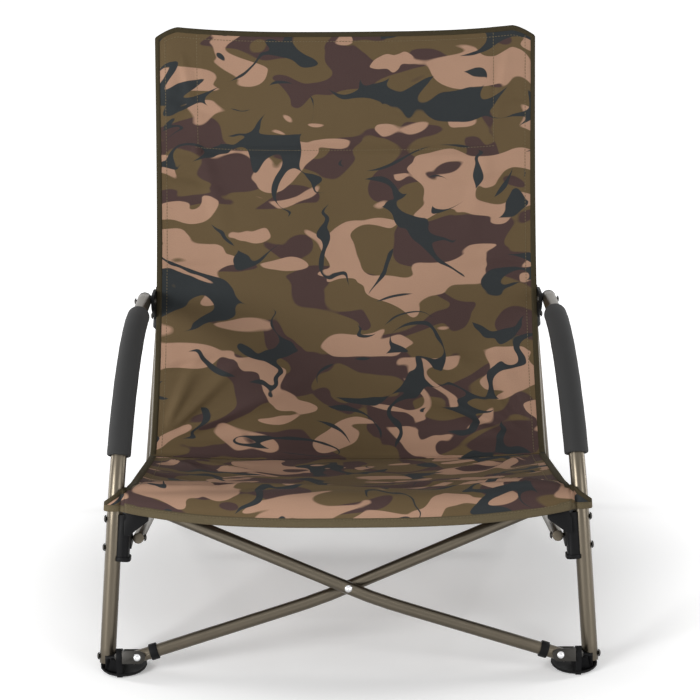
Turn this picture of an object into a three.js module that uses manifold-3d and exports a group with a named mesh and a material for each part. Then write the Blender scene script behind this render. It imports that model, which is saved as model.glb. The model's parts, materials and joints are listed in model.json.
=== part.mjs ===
// Low folding chair for fishing: a fabric seat and back on two tube side frames, which one
// pair of crossed tubes holds apart. Millimetres, +Z up, the sitter faces -Y.
// Every piece of a side frame is drawn for the right (+X) side and mirrored for the left.

import * as THREE from 'three';
import { mergeVertices } from 'three/addons/utils/BufferGeometryUtils.js';
import Module from 'manifold-3d';

const wasm = await Module();
wasm.setup();

// Shared sizes and counts

const middle_y = 260;             // the outline's middle, where the origin lies
const fit_gap = 0.3;              // left between pieces that touch
const cut_over = 6;               // how far every cut runs past what it cuts
const round_sides = 20;
const tube_sides = 12;
const small_sides = 8;
const rivet_r = 2.6;
const rivet_head_r = 5;
const rivet_head_height = 2.6;
const head_gap = 0.7;             // under a rivet's head where the tube below it leans
const rear_head_gap = 1;
const moulding_wall = 3.4;
const moulding_round = 4;

// Where the side frames stand: every half span follows this one

const frame_half_span = 281;      // from the middle to the centre of a front foot

// Arm tube: a leg that leans back, a wide bend, and an arm that droops a little to the rear

const arm_r = 10;
const arm_outward = 21;
const arm_foot_half_span = frame_half_span + arm_outward;
const arm_lean_in_share = 0.07;   // inward run for each unit of height
const arm_spread_share = 0.006;   // outward run for each unit of depth
const leg_lean_back_deg = 11.6;
const arm_droop_deg = 2.7;
const leg_bottom_z = 9;
const leg_straight_top_z = 178;
const arm_bend_r = 242;
const arm_rear_length = 104;
const arm_cap_length = 6.5;
const arm_pin_before_tip = 10;
const arm_steps = 32;
const grip_steps = 15;

// Foam grip

const grip_wall = 4.7;
const grip_start_past_leg = 77;   // along the tube, from the top of the straight leg
const grip_end_before_tip = 37;

// Back post, rear leg and side strut

const post_r = 8;
const post_bottom_z = 80;
const post_top_z = 712;
const post_inward = 0.6;
const post_half_span_at_floor = frame_half_span - post_inward;
const post_lean_in_share = 0.07;
const post_y_at_floor = 329.8;
const post_lean_back_share = 0.2364;
const post_cap_wall = 1.4;
const post_cap_length = 14;
const post_cap_lap = 9;
const rear_leg_r = 7;
const rear_leg_top_z = 338;
const rear_leg_behind_post = 18.3;
const rear_leg_outside_post = 3.3;
const rear_leg_outward = 19;
const rear_leg_foot_half_span = frame_half_span + rear_leg_outward;
const rear_leg_foot_y = 523.5;
const rear_leg_bottom_z = 13;
const strut_r = 7;
const strut_front_z = 155;
const strut_front_y = 52;
const strut_front_gap = 1;         // to the flange, as the strut runs outwards to the rear
const strut_nose = 8;             // how far the strut runs past each of its pins
const strut_rear_half_span = frame_half_span;
const strut_rear_y = 505;
const strut_rear_z = 24;

// Dished feet

const foot_r = 29;
const foot_sole_r = 21;
const foot_rim_height = 6.5;
const foot_floor = 2.6;
const front_foot_half_span = frame_half_span;
const front_foot_y = 0;
const rear_foot_outward = 2;
const rear_foot_half_span = frame_half_span + rear_foot_outward;
const rear_foot_y = 523.5;

// Crossed tubes: both lie in one plane that leans back from the front feet

const cross_r = 8;
const cross_plane_deg = 71;
const cross_pivot_inward = 20;
const cross_pivot_half_span = frame_half_span - cross_pivot_inward;
const cross_pivot_y = -19;
const cross_pivot_z = 26;
const cross_middle_rise = 83.8;   // in the plane, from the foot pins to the middle rivet
const cross_top_inward = 21;
const cross_top_half_span = frame_half_span - cross_top_inward;
const cross_top_rise = 191.5;     // in the plane, from the foot pins to the upper pins
const cross_below_middle = 40;    // the lower bend, along the tube from the middle rivet
const cross_flat_above_middle = 45;
const cross_past_foot_pin = 8;
const cross_past_top_pin = 5;
const cross_steps = 20;
const cross_play = 1;             // at each side of the tube in its clevis and at its gusset

// Clevis and collar at the lower end of a crossed tube

const clevis_wall = 1.8;
const clevis_half_height = 8;
const clevis_reach_in = 10;
const clevis_reach_out = 18.7;
const collar_wall = 2;
const collar_start = 16;
const collar_length = 10;

// Front foot hub

const ear_thickness = 7;
const ear_r = 10;
const hub_front_y = -13;
const hub_rear_y = 14;
const hub_top_z = 22;
const hub_past_leg = 1;
const hub_outer_half_span = arm_foot_half_span + hub_past_leg;
const hub_block_bottom_inward = 2;
const hub_block_bottom_half_span = arm_foot_half_span - hub_block_bottom_inward;
const hub_block_top_inward = 6;
const hub_block_top_half_span = arm_foot_half_span - hub_block_top_inward;
const hub_block_top_z = 19;
const front_rivet_z = 17;

// Corner bracket on the leg, under the front corner of the seat

const bracket_bottom_z = 140;
const bracket_top_z = 194;
const bracket_inward = 11;
const bracket_inner_half_span = frame_half_span - bracket_inward;
const bracket_before_leg = 11;
const bracket_behind_leg = 12;
const bracket_lap = 6;            // how far the bracket wraps round the leg
const bracket_lip = 2;
const bracket_lip_height = 3;
const bracket_rivet_upper_z = 187;
const bracket_rivet_lower_z = 152;
const bracket_flange_r = 9;
const bracket_flange_thickness = 4.5;
const gusset_thickness = 4;
const gusset_reach_inward = 24;
const gusset_half_span = bracket_inner_half_span - gusset_reach_inward;
const gusset_lap = 6;
const gusset_outer_half_span = bracket_inner_half_span + gusset_lap;
const gusset_upper_lap = 3;
const gusset_upper_half_span = bracket_inner_half_span + gusset_upper_lap;
const gusset_low_rise = 150;
const gusset_inner_rise = 168;
const gusset_top_past_pin = 6;

// Arm bracket on the back post

const arm_bracket_plate = 4;
const arm_bracket_above = 8;
const arm_bracket_below = 42;
const arm_lobe_r = 9;
const rear_lobe_length = 25;
const rear_pin_below_top = 8;

// Shoe that seats the back post on the strut

const shoe_half_length = 17;
const shoe_top_above_post_end = 26;
const shoe_rivet_above_post_end = 14;

// Fabric

const cloth_thickness = 2;
const cloth_columns = 14;
const cloth_rows = 16;
const back_half_top = 260;
const back_half_crease = 275;
const back_flare_power = 3.5;
const back_before_post = 14;
const back_corner_z = 712;
const back_peak_z = 725;
const back_middle_z = 717;
const back_bottom_z = 152;
const back_bottom_dip = 11;
const back_belly_low = 14;
const back_belly_high = 4;
const pocket_bottom_z = 566;
const crease_y = 365;
const crease_z = 139.5;
const crease_edge_y = 350.5;
const crease_edge_z = 150.5;
const seat_half_crease = 274;
const seat_half_front = 274.6;
const seat_sag = 12;
const seat_front_y = 30;
const seat_front_z = 221;
const hem_y = 8;
const hem_z = 187;
const hem_corner_z = 203;
const seat_corner_y = 36;
const seat_corner_z = 222;
const wrap_bottom_z = 196;
const wrap_top_z = 226;
const wrap_wall = 2;

// Materials

const materials = {
  painted_tube: new THREE.MeshStandardMaterial({ color: 0x6a6250, roughness: 0.4, metalness: 0.6 }),
  bright_rivet: new THREE.MeshStandardMaterial({ color: 0xc8cbcd, roughness: 0.3, metalness: 0.9 }),
  black_plastic: new THREE.MeshStandardMaterial({ color: 0x1c1c1d, roughness: 0.6, metalness: 0 }),
  grip_foam: new THREE.MeshStandardMaterial({ color: 0x18181a, roughness: 0.92, metalness: 0 }),
  chair_cloth: new THREE.MeshStandardMaterial({ color: 0x4d4630, roughness: 0.85, metalness: 0 }),
};

const radians = THREE.MathUtils.degToRad;
const clamp = THREE.MathUtils.clamp;
const vec = (x, y, z) => new THREE.Vector3(x, y, z);

// Solids: turning three.js geometry into something that can be cut and joined

function solidOf(geometry) {
  for (const name of Object.keys(geometry.attributes)) {
    if (name !== 'position') geometry.deleteAttribute(name);
  }
  const merged = mergeVertices(geometry, 1e-4);
  return new wasm.Manifold(new wasm.Mesh({
    numProp: 3,
    vertProperties: new Float32Array(merged.attributes.position.array),
    triVerts: new Uint32Array(merged.index.array),
  }));
}

function geometryOf(solid) {
  const mesh = solid.getMesh();
  const geometry = new THREE.BufferGeometry();
  geometry.setAttribute('position', new THREE.BufferAttribute(mesh.vertProperties, 3));
  geometry.setIndex(new THREE.BufferAttribute(mesh.triVerts, 1));
  geometry.computeVertexNormals();
  return geometry;
}

function mirrored(geometry) {
  const copy = geometry.clone();
  copy.scale(-1, 1, 1);
  const index = copy.index.array;
  for (let i = 0; i < index.length; i += 3) {
    [index[i + 1], index[i + 2]] = [index[i + 2], index[i + 1]];
  }
  copy.computeVertexNormals();
  return copy;
}

const joined = (...solids) => solids.reduce((sum, next) => sum.add(next));
const cut = (body, ...tools) => tools.reduce((rest, tool) => rest.subtract(tool), body);

// Basic forms

// A piece turned round an axis that starts at a point and runs along a direction
function turned(profile, origin, direction, sides) {
  const geometry = new THREE.LatheGeometry(profile.map(([r, h]) => new THREE.Vector2(r, h)), sides);
  const turn = new THREE.Quaternion().setFromUnitVectors(
    vec(0, 1, 0), direction.clone().normalize());
  geometry.applyQuaternion(turn);
  geometry.translate(origin.x, origin.y, origin.z);
  return solidOf(geometry);
}

// A round bar from one point to another
function bar(from, to, radius, sides = tube_sides) {
  const along = to.clone().sub(from);
  const length = along.length();
  return turned([[0, 0], [radius, 0], [radius, length], [0, length]], from, along, sides);
}

// The same bar, run past both ends by the named overrun, for cutting
function bore(from, to, radius, sides = tube_sides) {
  const over = to.clone().sub(from).setLength(cut_over);
  return bar(from.clone().sub(over), to.clone().add(over), radius, sides);
}

function extruded(shape, depth, sides, matrix) {
  const geometry = new THREE.ExtrudeGeometry(shape, {
    depth, bevelEnabled: false, curveSegments: sides,
  });
  geometry.applyMatrix4(matrix);
  return solidOf(geometry);
}

// A plate with its outline in the side view (y, z), from x0 out to x1
function sidePlate(shape, x0, x1) {
  const place = new THREE.Matrix4().makeBasis(vec(0, 1, 0), vec(0, 0, 1), vec(1, 0, 0));
  return extruded(shape, x1 - x0, small_sides / 2, place.setPosition(x0, 0, 0));
}

// A plate with its outline in the front view (x, z), from y0 back to y1
function frontPlate(shape, y0, y1) {
  const place = new THREE.Matrix4().makeBasis(vec(1, 0, 0), vec(0, 0, 1), vec(0, -1, 0));
  return extruded(shape, y1 - y0, small_sides / 2, place.setPosition(0, y1, 0));
}

// A plate with its outline in plan (x, y), from z0 up to z1
function planPlate(shape, z0, z1) {
  return extruded(shape, z1 - z0, small_sides / 2, new THREE.Matrix4().setPosition(0, 0, z0));
}

function disc(radius) {
  const shape = new THREE.Shape();
  shape.absarc(0, 0, radius, 0, Math.PI * 2, false);
  return shape;
}

function ring(outer_r, inner_r) {
  const shape = disc(outer_r);
  const hole = new THREE.Path();
  hole.absarc(0, 0, inner_r, 0, Math.PI * 2, true);
  shape.holes.push(hole);
  return shape;
}

// An outline with its corners rounded
function rounded(points, radius) {
  const shape = new THREE.Shape();
  const corners = points.map(([a, b]) => new THREE.Vector2(a, b));
  corners.forEach((here, i) => {
    const before = corners.at(i - 1);
    const after = corners[(i + 1) % corners.length];
    const reach = Math.min(radius, here.distanceTo(before) / 2, here.distanceTo(after) / 2);
    const enter = here.clone().add(before.clone().sub(here).setLength(reach));
    const leave = here.clone().add(after.clone().sub(here).setLength(reach));
    if (i === 0) shape.moveTo(enter.x, enter.y);
    else shape.lineTo(enter.x, enter.y);
    shape.quadraticCurveTo(here.x, here.y, leave.x, leave.y);
  });
  shape.closePath();
  return shape;
}

const outline = (points) => new THREE.Shape(points.map(([a, b]) => new THREE.Vector2(a, b)));

function alongPath(shape, path, steps) {
  return solidOf(new THREE.ExtrudeGeometry(shape, {
    steps, extrudePath: path, bevelEnabled: false, curveSegments: tube_sides / 2,
  }));
}

// A rivet: its shank runs between two points, with a domed head past each end or past the far end
function rivet(from, to, heads = 'both') {
  const along = to.clone().sub(from);
  const length = along.length();
  const shoulder_r = rivet_head_r * 0.7;
  const shoulder_height = rivet_head_height * 0.75;
  const near = heads === 'both'
    ? [[0, -rivet_head_height], [shoulder_r, -shoulder_height], [rivet_head_r, 0], [rivet_r, 0]]
    : [[0, 0], [rivet_r, 0]];
  return turned([
    ...near,
    [rivet_r, length], [rivet_head_r, length],
    [shoulder_r, length + shoulder_height], [0, length + rivet_head_height],
  ], from, along, small_sides);
}

// A rivet across the chair, through a point, and the hole that it needs
function crossRivet(at, inner_x, outer_x, heads = 'both') {
  return rivet(vec(inner_x, at.y, at.z), vec(outer_x, at.y, at.z), heads);
}

function crossHole(at, inner_x, outer_x) {
  return bore(vec(inner_x, at.y, at.z), vec(outer_x, at.y, at.z), rivet_r + fit_gap, small_sides);
}

// Centre line of the arm tube, by the length along it

const leg_slope = radians(90 - leg_lean_back_deg);
const arm_droop = radians(arm_droop_deg);
const leg_length = (leg_straight_top_z - leg_bottom_z) / Math.sin(leg_slope);
const arm_bend_length = arm_bend_r * (leg_slope + arm_droop);
const arm_length = leg_length + arm_bend_length + arm_rear_length;

function armPoint(along) {
  const straight = Math.min(along, leg_length);
  const bent = clamp(along - leg_length, 0, arm_bend_length);
  const rear = Math.max(0, along - leg_length - arm_bend_length);
  const slope = leg_slope - bent / arm_bend_r;
  const y = straight * Math.cos(leg_slope)
    + arm_bend_r * (Math.sin(leg_slope) - Math.sin(slope)) + rear * Math.cos(arm_droop);
  const z = leg_bottom_z + straight * Math.sin(leg_slope)
    + arm_bend_r * (Math.cos(slope) - Math.cos(leg_slope)) - rear * Math.sin(arm_droop);
  return vec(arm_foot_half_span - arm_lean_in_share * z + arm_spread_share * y, y, z);
}

class ArmStretch extends THREE.Curve {
  constructor(from, to) {
    super();
    this.from = from;
    this.to = to;
  }

  getPoint(t) {
    return armPoint(this.from + (this.to - this.from) * t);
  }
}

// The leg's centre line at a height, also a little above the start of the bend
function legAt(z) {
  if (z <= leg_straight_top_z) return armPoint((z - leg_bottom_z) / Math.sin(leg_slope));
  const slope = Math.acos(Math.cos(leg_slope) + (z - leg_straight_top_z) / arm_bend_r);
  return armPoint(leg_length + (leg_slope - slope) * arm_bend_r);
}

const arm_tip = armPoint(arm_length);
const arm_pin_at = armPoint(arm_length - arm_pin_before_tip);

// Centre lines of the post, the rear leg and the strut

function postAt(z) {
  return vec(
    post_half_span_at_floor - post_lean_in_share * z,
    post_y_at_floor + post_lean_back_share * z,
    z);
}

const rear_leg_top = postAt(rear_leg_top_z)
  .add(vec(rear_leg_outside_post, rear_leg_behind_post, 0));
const rear_leg_bottom = vec(rear_leg_foot_half_span, rear_leg_foot_y, rear_leg_bottom_z);

function rearLegAt(z) {
  return rear_leg_bottom.clone().lerp(
    rear_leg_top, (z - rear_leg_bottom_z) / (rear_leg_top_z - rear_leg_bottom_z));
}

const strut_front = vec(
  bracket_inner_half_span - strut_front_gap - strut_r, strut_front_y, strut_front_z);
const strut_rear = vec(strut_rear_half_span, strut_rear_y, strut_rear_z);

function strutAt(y) {
  return strut_front.clone().lerp(strut_rear, (y - strut_front_y) / (strut_rear_y - strut_front_y));
}

const post_end = postAt(post_bottom_z);
const shoe_rivet_at = postAt(post_bottom_z + shoe_rivet_above_post_end);
const shoe_r = post_r + fit_gap + moulding_wall;

// Arm tube, grip and cap

function armTube() {
  const tube = alongPath(disc(arm_r), new ArmStretch(0, arm_length), arm_steps);
  const holes = [front_rivet_z, bracket_rivet_lower_z, bracket_rivet_upper_z].map((z) => {
    const at = legAt(z);
    return crossHole(at, at.x - arm_r, at.x + arm_r);
  });
  return cut(tube, ...holes, crossHole(arm_pin_at, arm_pin_at.x - arm_r, arm_pin_at.x + arm_r));
}

function foamGrip() {
  const inner_r = arm_r + fit_gap * 2;
  const stretch = new ArmStretch(leg_length + grip_start_past_leg, arm_length - grip_end_before_tip);
  return alongPath(ring(inner_r + grip_wall, inner_r), stretch, grip_steps);
}

function armEndCap() {
  const direction = arm_tip.clone().sub(arm_pin_at).normalize();
  return turned([
    [0, 0], [arm_r, 0], [arm_r, arm_cap_length * 0.55],
    [arm_r * 0.8, arm_cap_length * 0.9], [0, arm_cap_length],
  ], arm_tip.clone().addScaledVector(direction, fit_gap), direction, tube_sides);
}

// Room that a moulding leaves for the leg inside it
const legRoom = () => alongPath(
  disc(arm_r + fit_gap), new ArmStretch(-cut_over, leg_length + grip_start_past_leg), 14);

// Back post with its cap

function backPost() {
  return cut(
    bar(post_end, postAt(post_top_z), post_r),
    crossHole(shoe_rivet_at, shoe_rivet_at.x - post_r, shoe_rivet_at.x + post_r));
}

function postCap() {
  const low = postAt(post_top_z - post_cap_lap);
  const up = postAt(post_top_z).sub(low).normalize();
  const outer_r = post_r + fit_gap + post_cap_wall;
  const whole = turned([
    [0, 0], [outer_r, 0], [outer_r, post_cap_length * 0.75],
    [outer_r * 0.72, post_cap_length], [0, post_cap_length],
  ], low, up, tube_sides);
  const over = low.clone().addScaledVector(up, -cut_over);
  return cut(whole, bar(over, postAt(post_top_z + fit_gap), post_r + fit_gap));
}

// Arm bracket: clamped round the post, with a lobe to the arm and a socket for the rear leg

const arm_plate_outer = arm_pin_at.x - arm_r - fit_gap;
const arm_plate_inner = arm_plate_outer - arm_bracket_plate;
const rear_socket_r = rear_leg_r + fit_gap + moulding_wall;
const rear_pin_at = rearLegAt(rear_leg_top_z - rear_pin_below_top);

function armBracket() {
  const high = postAt(arm_pin_at.z + arm_bracket_above);
  const low = postAt(arm_pin_at.z - arm_bracket_below);
  const lobe = sidePlate(rounded([
    [arm_pin_at.y - arm_lobe_r, arm_pin_at.z + arm_lobe_r],
    [arm_pin_at.y - arm_lobe_r, arm_pin_at.z - arm_lobe_r],
    [low.y - arm_lobe_r / 2, low.z + arm_lobe_r],
    [low.y + arm_lobe_r, low.z],
    [high.y + arm_lobe_r, high.z - arm_lobe_r / 2],
    [high.y - arm_lobe_r, high.z],
  ], arm_lobe_r), arm_plate_inner, arm_plate_outer);
  const socket_top = rearLegAt(rear_leg_top_z + moulding_wall);
  const socket_low = rearLegAt(rear_leg_top_z - rear_lobe_length);
  return cut(
    joined(bar(low, high, shoe_r), bar(socket_low, socket_top, rear_socket_r), lobe),
    bore(postAt(socket_low.z), high, post_r + fit_gap),
    bar(rearLegAt(socket_low.z - cut_over), rearLegAt(rear_leg_top_z + fit_gap),
      rear_leg_r + fit_gap),
    crossHole(arm_pin_at, arm_plate_inner, arm_plate_outer),
    crossHole(rear_pin_at, rear_pin_at.x - rear_socket_r, rear_pin_at.x + rear_socket_r));
}

// Shoe: clamped round the strut, with a socket for the lower end of the post

function postShoe() {
  const socket_top = postAt(post_bottom_z + shoe_top_above_post_end);
  const socket_low = postAt(strutAt(post_end.y).z);
  const fore = strutAt(post_end.y - shoe_half_length);
  const aft = strutAt(post_end.y + shoe_half_length);
  return cut(
    joined(bar(socket_low, socket_top, shoe_r), bar(fore, aft, strut_r + fit_gap + moulding_wall)),
    bore(fore, aft, strut_r + fit_gap),
    bar(postAt(post_bottom_z - fit_gap), postAt(socket_top.z + cut_over), post_r + fit_gap),
    crossHole(shoe_rivet_at, shoe_rivet_at.x - shoe_r, shoe_rivet_at.x + shoe_r));
}

// Rear leg and side strut

const strut_rear_pin_at = strutAt(strut_rear_y - strut_nose);
const rear_foot_pin_at = rearLegAt(strut_rear_z);

function rearLeg() {
  return cut(
    bar(rear_leg_bottom, rear_leg_top, rear_leg_r),
    crossHole(rear_pin_at, rear_pin_at.x - rear_leg_r, rear_pin_at.x + rear_leg_r),
    crossHole(rear_foot_pin_at, rear_foot_pin_at.x - rear_leg_r, rear_foot_pin_at.x + rear_leg_r));
}

function sideStrut() {
  return cut(
    bar(strutAt(strut_front_y - strut_nose), strut_rear, strut_r),
    crossHole(strut_front, strut_front.x - strut_r, strut_front.x + strut_r),
    crossHole(strut_rear_pin_at, strut_rear_pin_at.x - strut_r, strut_rear_pin_at.x + strut_r));
}

// Feet

function footDish(x, y) {
  const lip = foot_rim_height / 4;
  return turned([
    [0, 0], [foot_sole_r, 0],
    [foot_r * 0.93, foot_rim_height * 0.37], [foot_r, foot_rim_height * 0.75],
    [foot_r, foot_rim_height], [foot_r - lip, foot_rim_height],
    [foot_r - lip * 2.4, foot_rim_height * 0.66], [foot_sole_r, foot_floor], [0, foot_floor],
  ], vec(x, y, 0), vec(0, 0, 1), round_sides);
}

const ear_inner = cross_pivot_half_span + clevis_reach_out + fit_gap;
const ear_outer = ear_inner + ear_thickness;
const front_pin_at = legAt(front_rivet_z);
const inside_floor = foot_floor / 2;

function frontFoot() {
  const ear = new THREE.Shape();
  ear.moveTo(cross_pivot_y - ear_r * 0.8, inside_floor);
  ear.lineTo(hub_rear_y, inside_floor);
  ear.lineTo(hub_rear_y, hub_top_z / 2);
  ear.lineTo(cross_pivot_y + ear_r, cross_pivot_z);
  ear.absarc(cross_pivot_y, cross_pivot_z, ear_r, 0, Math.PI, false);
  ear.closePath();
  const saddle = sidePlate(rounded([
    [hub_front_y, inside_floor], [hub_rear_y, inside_floor],
    [hub_rear_y, hub_top_z], [hub_front_y + moulding_round, hub_top_z],
  ], moulding_round), ear_outer - fit_gap, hub_outer_half_span);
  const block = frontPlate(rounded([
    [ear_inner, inside_floor], [hub_block_bottom_half_span, inside_floor],
    [hub_block_top_half_span, hub_block_top_z], [ear_outer, hub_block_top_z],
  ], moulding_round / 4), hub_front_y - moulding_round / 2, hub_front_y + moulding_round);
  const tilt_axis = vec(0, cross_pivot_y, cross_pivot_z);
  return cut(
    joined(footDish(front_foot_half_span, front_foot_y),
      sidePlate(ear, ear_inner, ear_outer), saddle, block),
    bar(armPoint(-fit_gap), legAt(hub_top_z + foot_r), arm_r + fit_gap),
    crossHole(front_pin_at, ear_outer + rivet_r, front_pin_at.x),
    crossHole(tilt_axis, ear_inner, ear_outer));
}

function rearFoot() {
  const strut_wall = strut_r + fit_gap + moulding_wall;
  const leg_socket = bar(
    rearLegAt(inside_floor + moulding_wall), rearLegAt(strut_rear_z + rear_socket_r), rear_socket_r);
  const strut_block = sidePlate(rounded([
    [strut_rear_y - foot_r / 2, inside_floor], [rear_leg_foot_y, inside_floor],
    [rear_leg_foot_y - moulding_round, strut_rear_z + strut_wall],
    [strut_rear_y - foot_r / 2, strut_rear_z + strut_wall],
  ], moulding_round), strut_rear_half_span - strut_wall, strut_rear_half_span + strut_wall);
  const web = planPlate(rounded([
    [strut_rear_half_span, strut_rear_y - moulding_round],
    [rear_foot_pin_at.x, rear_leg_foot_y - rear_socket_r],
    [rear_foot_pin_at.x, rear_leg_foot_y + moulding_round],
    [strut_rear_half_span, rear_leg_foot_y - moulding_round],
  ], moulding_round / 2), inside_floor, strut_rear_z - moulding_round);
  return cut(
    joined(footDish(rear_foot_half_span, rear_foot_y), leg_socket, strut_block, web),
    bar(rearLegAt(rear_leg_bottom_z - fit_gap), rearLegAt(foot_r * 3), rear_leg_r + fit_gap),
    bar(strutAt(strut_rear_y + fit_gap), strutAt(strut_rear_y - foot_r * 2), strut_r + fit_gap),
    crossHole(rear_foot_pin_at, rear_foot_pin_at.x - rear_socket_r,
      rear_foot_pin_at.x + rear_socket_r),
    crossHole(strut_rear_pin_at, strut_rear_half_span - strut_wall,
      strut_rear_half_span + strut_wall));
}

// The plane of the crossed tubes: x across, y up the plane, z square to it towards the front

const parts = new THREE.Group();
const cross_plane = new THREE.Group();
cross_plane.position.set(0, cross_pivot_y, cross_pivot_z);
cross_plane.rotation.x = radians(cross_plane_deg);
cross_plane.updateMatrix();
parts.add(cross_plane);

// A bar square to that plane, for pins and their holes
function acrossPlane(x, rise, reach, radius) {
  return bar(vec(x, rise, -reach), vec(x, rise, reach), radius, small_sides);
}

// Corner bracket: a moulding along the leg with a rounded face, a flange for the strut's pin
// and a gusset in front of the crossed tube's upper end. The slot in the gusset is open
// upwards, where the pin leaves it as the chair folds.

const leg_direction = armPoint(leg_length).sub(armPoint(0)).normalize();
const tab_front = cross_r + cross_play + gusset_thickness;

// A plate drawn square to the leg, first value outwards and second to the rear of its centre
function legPlate(shape, z0, z1) {
  const across = vec(1, 0, 0).addScaledVector(leg_direction, -leg_direction.x).normalize();
  const back = leg_direction.clone().cross(across);
  const place = new THREE.Matrix4().makeBasis(across, back, leg_direction)
    .setPosition(legAt(z0));
  return extruded(shape, (z1 - z0) / leg_direction.z, small_sides / 2, place);
}

function cornerBracket() {
  const middle = legAt((bracket_bottom_z + bracket_top_z) / 2);
  const inner = bracket_inner_half_span - middle.x;
  const outer = bracket_lap - arm_r;
  const plan = (grow) => rounded([
    [inner - grow, -bracket_before_leg - grow], [outer, -bracket_before_leg - grow],
    [outer, bracket_behind_leg + grow], [inner - grow, bracket_behind_leg + grow],
  ], moulding_round * 2);
  const body = legPlate(plan(0), bracket_bottom_z, bracket_top_z);
  const lip_top_z = bracket_bottom_z + bracket_lip;
  const lip = legPlate(plan(bracket_lip), bracket_bottom_z - bracket_lip_height, lip_top_z);
  const flange = sidePlate(rounded([
    [middle.y, strut_front_z - bracket_flange_r],
    [strut_front_y + bracket_flange_r, strut_front_z - bracket_flange_r],
    [strut_front_y + bracket_flange_r, strut_front_z + bracket_flange_r],
    [middle.y + bracket_flange_r, strut_front_z + bracket_flange_r * 2],
    [middle.y, strut_front_z + bracket_flange_r * 2],
  ], moulding_round * 1.5), bracket_inner_half_span,
  bracket_inner_half_span + bracket_flange_thickness);
  const gusset_top = cross_top_rise + gusset_top_past_pin;
  const gusset = planPlate(rounded([
    [gusset_outer_half_span, gusset_low_rise],
    [gusset_outer_half_span, gusset_inner_rise],
    [gusset_upper_half_span, gusset_inner_rise + moulding_round],
    [gusset_upper_half_span, gusset_top], [gusset_half_span, gusset_top],
    [gusset_half_span, gusset_inner_rise], [bracket_inner_half_span, gusset_low_rise],
  ], moulding_round / 2), cross_r + cross_play, tab_front);
  const slot_half = rivet_r + fit_gap;
  const slot = planPlate(outline([
    [cross_top_half_span + slot_half, cross_top_rise],
    [cross_top_half_span + slot_half, gusset_top + cut_over],
    [cross_top_half_span - slot_half * 1.5, gusset_top + cut_over],
    [cross_top_half_span - slot_half, cross_top_rise],
  ]), cross_r - cut_over, tab_front + cut_over);
  const tab = cut(gusset, slot,
    acrossPlane(cross_top_half_span, cross_top_rise, tab_front + cut_over, slot_half));
  const placed_tab = solidOf(geometryOf(tab).applyMatrix4(cross_plane.matrix));
  const holes = [bracket_rivet_lower_z, bracket_rivet_upper_z].map((z) => {
    const at = legAt(z);
    return crossHole(at, bracket_inner_half_span + moulding_wall + cut_over, at.x);
  });
  return cut(
    joined(body, lip, flange, placed_tab),
    legRoom(),
    crossHole(strut_front, bracket_inner_half_span, bracket_inner_half_span + cut_over),
    ...holes);
}

// Crossed tube. It bends a little below the middle rivet and bows round its partner there,
// and both of its ends lie in the middle of the plane.

const cross_offset = cross_r + fit_gap;

function crossTubePath(foot_side) {
  const middle = vec(0, cross_middle_rise, foot_side * cross_offset);
  const foot = vec(foot_side * cross_pivot_half_span, 0, 0);
  const top = vec(-foot_side * cross_top_half_span, cross_top_rise, 0);
  const up = top.clone().sub(vec(0, cross_middle_rise, 0)).normalize();
  const bend = middle.clone().addScaledVector(up, -cross_below_middle);
  const down = foot.clone().sub(vec(bend.x, bend.y, 0)).normalize();
  const upper_flat = middle.clone().addScaledVector(up, cross_flat_above_middle);
  const foot_end = foot.clone().addScaledVector(down, cross_past_foot_pin);
  const top_end = top.clone().addScaledVector(up, cross_past_top_pin);
  const before_bend = foot_end.clone().lerp(bend, 0.85);
  const after_bend = bend.clone().lerp(middle, 0.6);
  const before_bow = middle.clone().lerp(upper_flat, 0.6);
  const after_bow = upper_flat.clone().lerp(top_end, 0.15);
  const path = new THREE.CurvePath();
  path.add(new THREE.LineCurve3(foot_end, before_bend));
  path.add(new THREE.QuadraticBezierCurve3(before_bend, bend, after_bend));
  path.add(new THREE.LineCurve3(after_bend, before_bow));
  path.add(new THREE.QuadraticBezierCurve3(before_bow, upper_flat, after_bow));
  path.add(new THREE.LineCurve3(after_bow, top_end));
  return path;
}

function crossTube(foot_side) {
  const hole_r = rivet_r + fit_gap;
  const reach = cross_r * 2 + cross_offset;
  return cut(
    alongPath(disc(cross_r), crossTubePath(foot_side), cross_steps),
    acrossPlane(foot_side * cross_pivot_half_span, 0, reach, hole_r),
    acrossPlane(0, cross_middle_rise, reach, hole_r),
    acrossPlane(-foot_side * cross_top_half_span, cross_top_rise, reach, hole_r));
}

function crossCollar(foot_side) {
  const path = crossTubePath(foot_side);
  const total = path.getLength();
  const from = path.getPointAt((cross_past_foot_pin + collar_start) / total);
  const to = path.getPointAt((cross_past_foot_pin + collar_start + collar_length) / total);
  return cut(
    bar(from, to, cross_r + fit_gap + collar_wall),
    bore(from, to, cross_r + fit_gap));
}

// Clevis: bent steel, open towards the middle of the chair, riveted to the ear of the foot

const clevis_half_gap = cross_r + cross_play;
const clevis_half_depth = clevis_half_gap + clevis_wall;

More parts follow.
